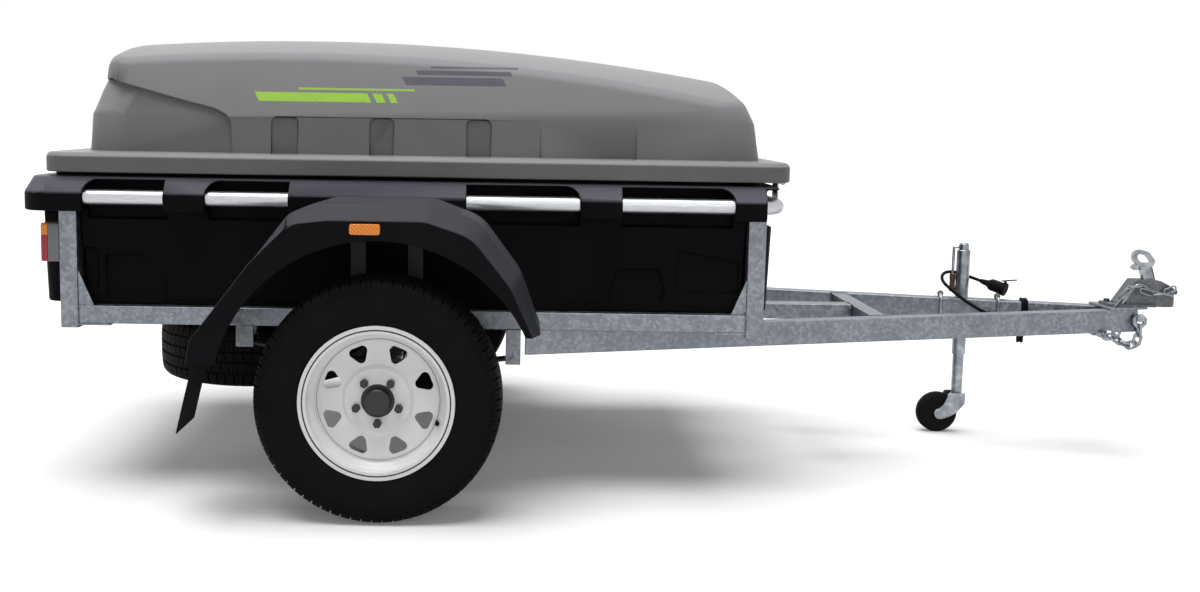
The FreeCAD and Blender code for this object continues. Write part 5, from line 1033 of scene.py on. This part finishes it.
# %% Weld the frame
def bead():
    """A small flattened ripple, longer across the weld than along it."""
    solid = bmesh.new()
    bmesh.ops.create_icosphere(solid, subdivisions=1, radius=1.0)
    bmesh.ops.scale(solid, vec=(0.0034, 0.0034, 0.0022), verts=solid.verts)
    return mesh_of(solid, "bead")


def path_mesh(paths):
    """A mesh of loose edges through the points of each path."""
    made = bpy.data.meshes.new("paths")
    points, edges = [], []
    for line in paths:
        edges += [(len(points) + k, len(points) + k + 1) for k in range(len(line) - 1)]
        points += [tuple(place) for place in line]
    made.from_pydata(points, edges, [])
    return made


def both_sides(paths):
    """The paths and their mirror images."""
    return paths + [[Vector((place.x, -place.y, place.z)) for place in line] for line in paths]


bead_pitch = 0.0042
proud = 0.5
frame_half, rail_width, rail_rear = 582, 50, 365
frame_face, frame_top, drawbar_top = 583, 504.5, 456
brace_front, brace_rear, centre_brace_half = 1431, 1381, 29
post_front, post_rear, post_inner = 953, -822, 560
plate_span, plate_inset = (2167, 2262), 4.5
brace_span, post_span = (454, 410), (456, 502)


def rail_y(x):
    """Distance of the drawbar rail's outer face from the middle, in millimetres."""
    return frame_half - rail_slope * (x - rail_rear)


def inner_y(x):
    """Distance of a bead on the drawbar rail's inner face from the middle, in millimetres."""
    return rail_y(x) - rail_width * math.hypot(1, rail_slope) - 1


seams = both_sides([
    [spot(x, rail_y(x) - plate_inset, drawbar_top + proud) for x in plate_span],
    [spot(brace_front, inner_y(brace_front), z) for z in brace_span],
    [spot(brace_rear, inner_y(brace_rear), z) for z in brace_span],
    [spot(x, inner_y(x), drawbar_top + proud) for x in (brace_front, brace_rear + 1)],
    [spot(post_front, frame_face, z) for z in post_span],
    [spot(post_rear, frame_face, z) for z in post_span],
    [spot(post_front - 1, frame_face, frame_top), spot(post_front + 1, frame_face, frame_top),
     spot(post_front, post_inner, frame_top)],
])
seams.append([spot(brace_rear + proud, side * centre_brace_half, drawbar_top + proud) for side in (-1, 1)])
welds = grown(path_mesh(seams), weld_tree, bead(), Pitch=bead_pitch, Finish=galvanised)
weld_piece = piece_from(welds, "weld_beads", galvanised, "chassis", smooth_angle=60)
print("weld triangles", triangles(weld_piece.data))

# %% [markdown]
# The jockey wheel's crank ends in a turned grip of brown plastic, with a waist
# for the fingers and a few grooves, pushed over the crank's rod.

# %% Grip on the jockey wheel's crank
grip_brown = moulded("brown_grip_plastic_moulded", "#4a3226", "#5c4030", 1.2, 0.42, 0.4, 0.3)
crank_low, crank_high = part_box("jockey_crank")
rod_inset, grip_steps = 0.008, 24
grip_foot = Vector((crank_low.x + rod_inset, (crank_low.y + crank_high.y) / 2, crank_low.z))
grip_profile = [(-1.5, 0), (-1.5, 7), (0, 9.4), (8, 10), (16, 9.2), (17, 8.6), (18, 9.2), (24, 8.8),
                (25, 8.3), (26, 8.8), (32, 8.9), (33, 8.4), (34, 9), (44, 9.8), (54, 9.6), (58, 8.4), (58, 0)]
grip = piece_from(turned(grip_profile, grip_steps, Matrix.Translation(grip_foot), "crank_grip"),
                  "crank_grip", grip_brown, "chassis")
print("grip at", [round(c, 3) for c in grip_foot])

# %% [markdown]
# ## The coupling's small chain
# A short chain keeps the coupling's pin: it rises from the drawbar, lies over
# the slope of the housing, and ends at a hook by the nose. Each link is a bent
# wire ring, pulled long. Geometry Nodes set one on each point of a curve, and
# every second link is turned a quarter round the curve, as real links lie.

# %% Tree: links along a curve
chain_tree, given = new_tree("links_along_curve", ("Pitch", "Float"))
spaced, onward = spaced_path(chain_tree, given)
number = add(chain_tree, "GeometryNodeInputIndex").outputs[0]
quarter = arithmetic(chain_tree, "MULTIPLY", arithmetic(chain_tree, "MODULO", number, 2.0), math.pi / 2)
twist = add(chain_tree, "FunctionNodeAxisAngleToRotation", {"Axis": (0, 0, 1), "Angle": quarter})
lying = add(chain_tree, "FunctionNodeRotateRotation", {"Rotation": onward, "Rotate By": twist.outputs[0]},
            rotation_space="LOCAL")
close_tree(chain_tree, given, repeated(chain_tree, given, spaced, lying.outputs[0]))
print("chain tree", [i.name for i in chain_tree.interface.items_tree])

# %% [markdown]
# A link's wire is a ring of small rings: two half circles with straight runs
# between them. The pitch is about a link's inner length, so each link holds
# the next. The way's points are measured from the axle, like the lead's.

# %% The chain that keeps the coupling's pin
def link(wire_mm, length_mm, width_mm):
    """One long ring of round wire in the YZ plane, with its length along Z."""
    solid = bmesh.new()
    around, across = 20, 6
    bow, run = (width_mm - wire_mm) / 2, (length_mm - width_mm) / 2
    rings = []
    for a in (2 * math.pi * k / around for k in range(around)):
        out = Vector((0, math.sin(a), math.cos(a)))
        middle = bow * out + Vector((0, 0, math.copysign(run, out.z)))
        sides = [out * math.cos(b) + Vector((1, 0, 0)) * math.sin(b)
                 for b in (2 * math.pi * j / across for j in range(across))]
        rings.append([solid.verts.new((middle + side * wire_mm / 2) / 1000) for side in sides])
    skin(solid, rings)
    bmesh.ops.recalc_face_normals(solid, faces=solid.faces)
    return mesh_of(solid, "link")


link_pitch = 0.0362
keeper_way = [spot(*point) for point in (
    (2196, -44, 476), (2214, -47, 500), (2232, -48, 522), (2250, -48, 530), (2272, -49, 520),
    (2294, -50, 508), (2316, -51, 505), (2338, -50, 512), (2360, -46, 520))]
keeper_link = link(wire_mm=5.2, length_mm=46, width_mm=20)
keeper_mesh = grown(path_mesh([keeper_way]), chain_tree, keeper_link, Pitch=link_pitch, Finish=zinc)
keeper = piece_from(keeper_mesh, "keeper_chain", zinc, "chassis", smooth_angle=60)
print("keeper chain triangles", triangles(keeper.data))

# %% [markdown]
# ## Bolts of the hinges
# Each hinge strap and each bracket is held by hexagon bolts on round washers.
# One more tree sets a bolt head on each given point, turned to the direction
# that the point carries as a named attribute.

# %% Tree: a bolt head on each point
bolt_tree, given = new_tree("bolts_on_points")
aim = add(bolt_tree, "GeometryNodeInputNamedAttribute", {"Name": "aim"}, data_type="FLOAT_VECTOR")
aimed = add(bolt_tree, "FunctionNodeAlignRotationToVector", {"Vector": aim.outputs["Attribute"]}, axis="Z")
close_tree(bolt_tree, given, repeated(bolt_tree, given, given["Geometry"], aimed.outputs[0]))


def bolt_head(across_mm, height_mm):
    """A hexagon head with a chamfered top on a round washer, standing on the origin."""
    solid = bmesh.new()
    washer, hexagon = across_mm * 0.72, across_mm / 2 / math.cos(math.pi / 6)
    washer_side, washer_top, chamfer = 1.4, 1.8, 0.8
    round_levels = [(20, washer, 0), (20, washer, washer_side), (20, washer - 0.5, washer_top)]
    hexagon_levels = [(6, hexagon, washer_top), (6, hexagon, height_mm - chamfer),
                      (6, hexagon * 0.86, height_mm)]
    for levels in (round_levels, hexagon_levels):
        rings = [[solid.verts.new(Vector((r * math.cos(a), r * math.sin(a), h)) / 1000)
                  for a in (2 * math.pi * k / corners for k in range(corners))] for corners, r, h in levels]
        skin(solid, rings, looped=False)
        solid.faces.new(rings[0][::-1])
        solid.faces.new(rings[-1])
    return mesh_of(solid, "bolt_head")


print("bolt tree", [i.name for i in bolt_tree.interface.items_tree])

# %% [markdown]
# The hinge's strap rides on the lid with its four bolts, two over two. The
# bracket stays on the tub's rim, with two in a row. The distances are from
# the axle, the middle and the ground.

# %% Bolts of the hinges
hinge_y, bolt_offset = 360, 22
bolt_across, bolt_height = 8, 5
bolt_rows = [side * hinge_y + offset for side in (1, -1) for offset in (-bolt_offset, bolt_offset)]


def bolted(name, places, body):
    """Zinc-plated bolt heads that face forward at these places, as one piece of a body."""
    points = bpy.data.meshes.new(name + "_places")
    points.from_pydata([tuple(place) for place in places], [], [])
    for item in points.attributes.new("aim", "FLOAT_VECTOR", "POINT").data:
        item.vector = (1, 0, 0)
    heads = grown(points, bolt_tree, bolt_head(bolt_across, bolt_height), Finish=zinc)
    piece_from(heads, name, zinc, body, smooth_angle=30)


bolted("lid_hinge_bolts", [spot(1070, y, z) for y in bolt_rows for z in (878, 892)], "lid")
bolted("rim_hinge_bolts", [spot(1065, y, 782) for y in bolt_rows], "chassis")
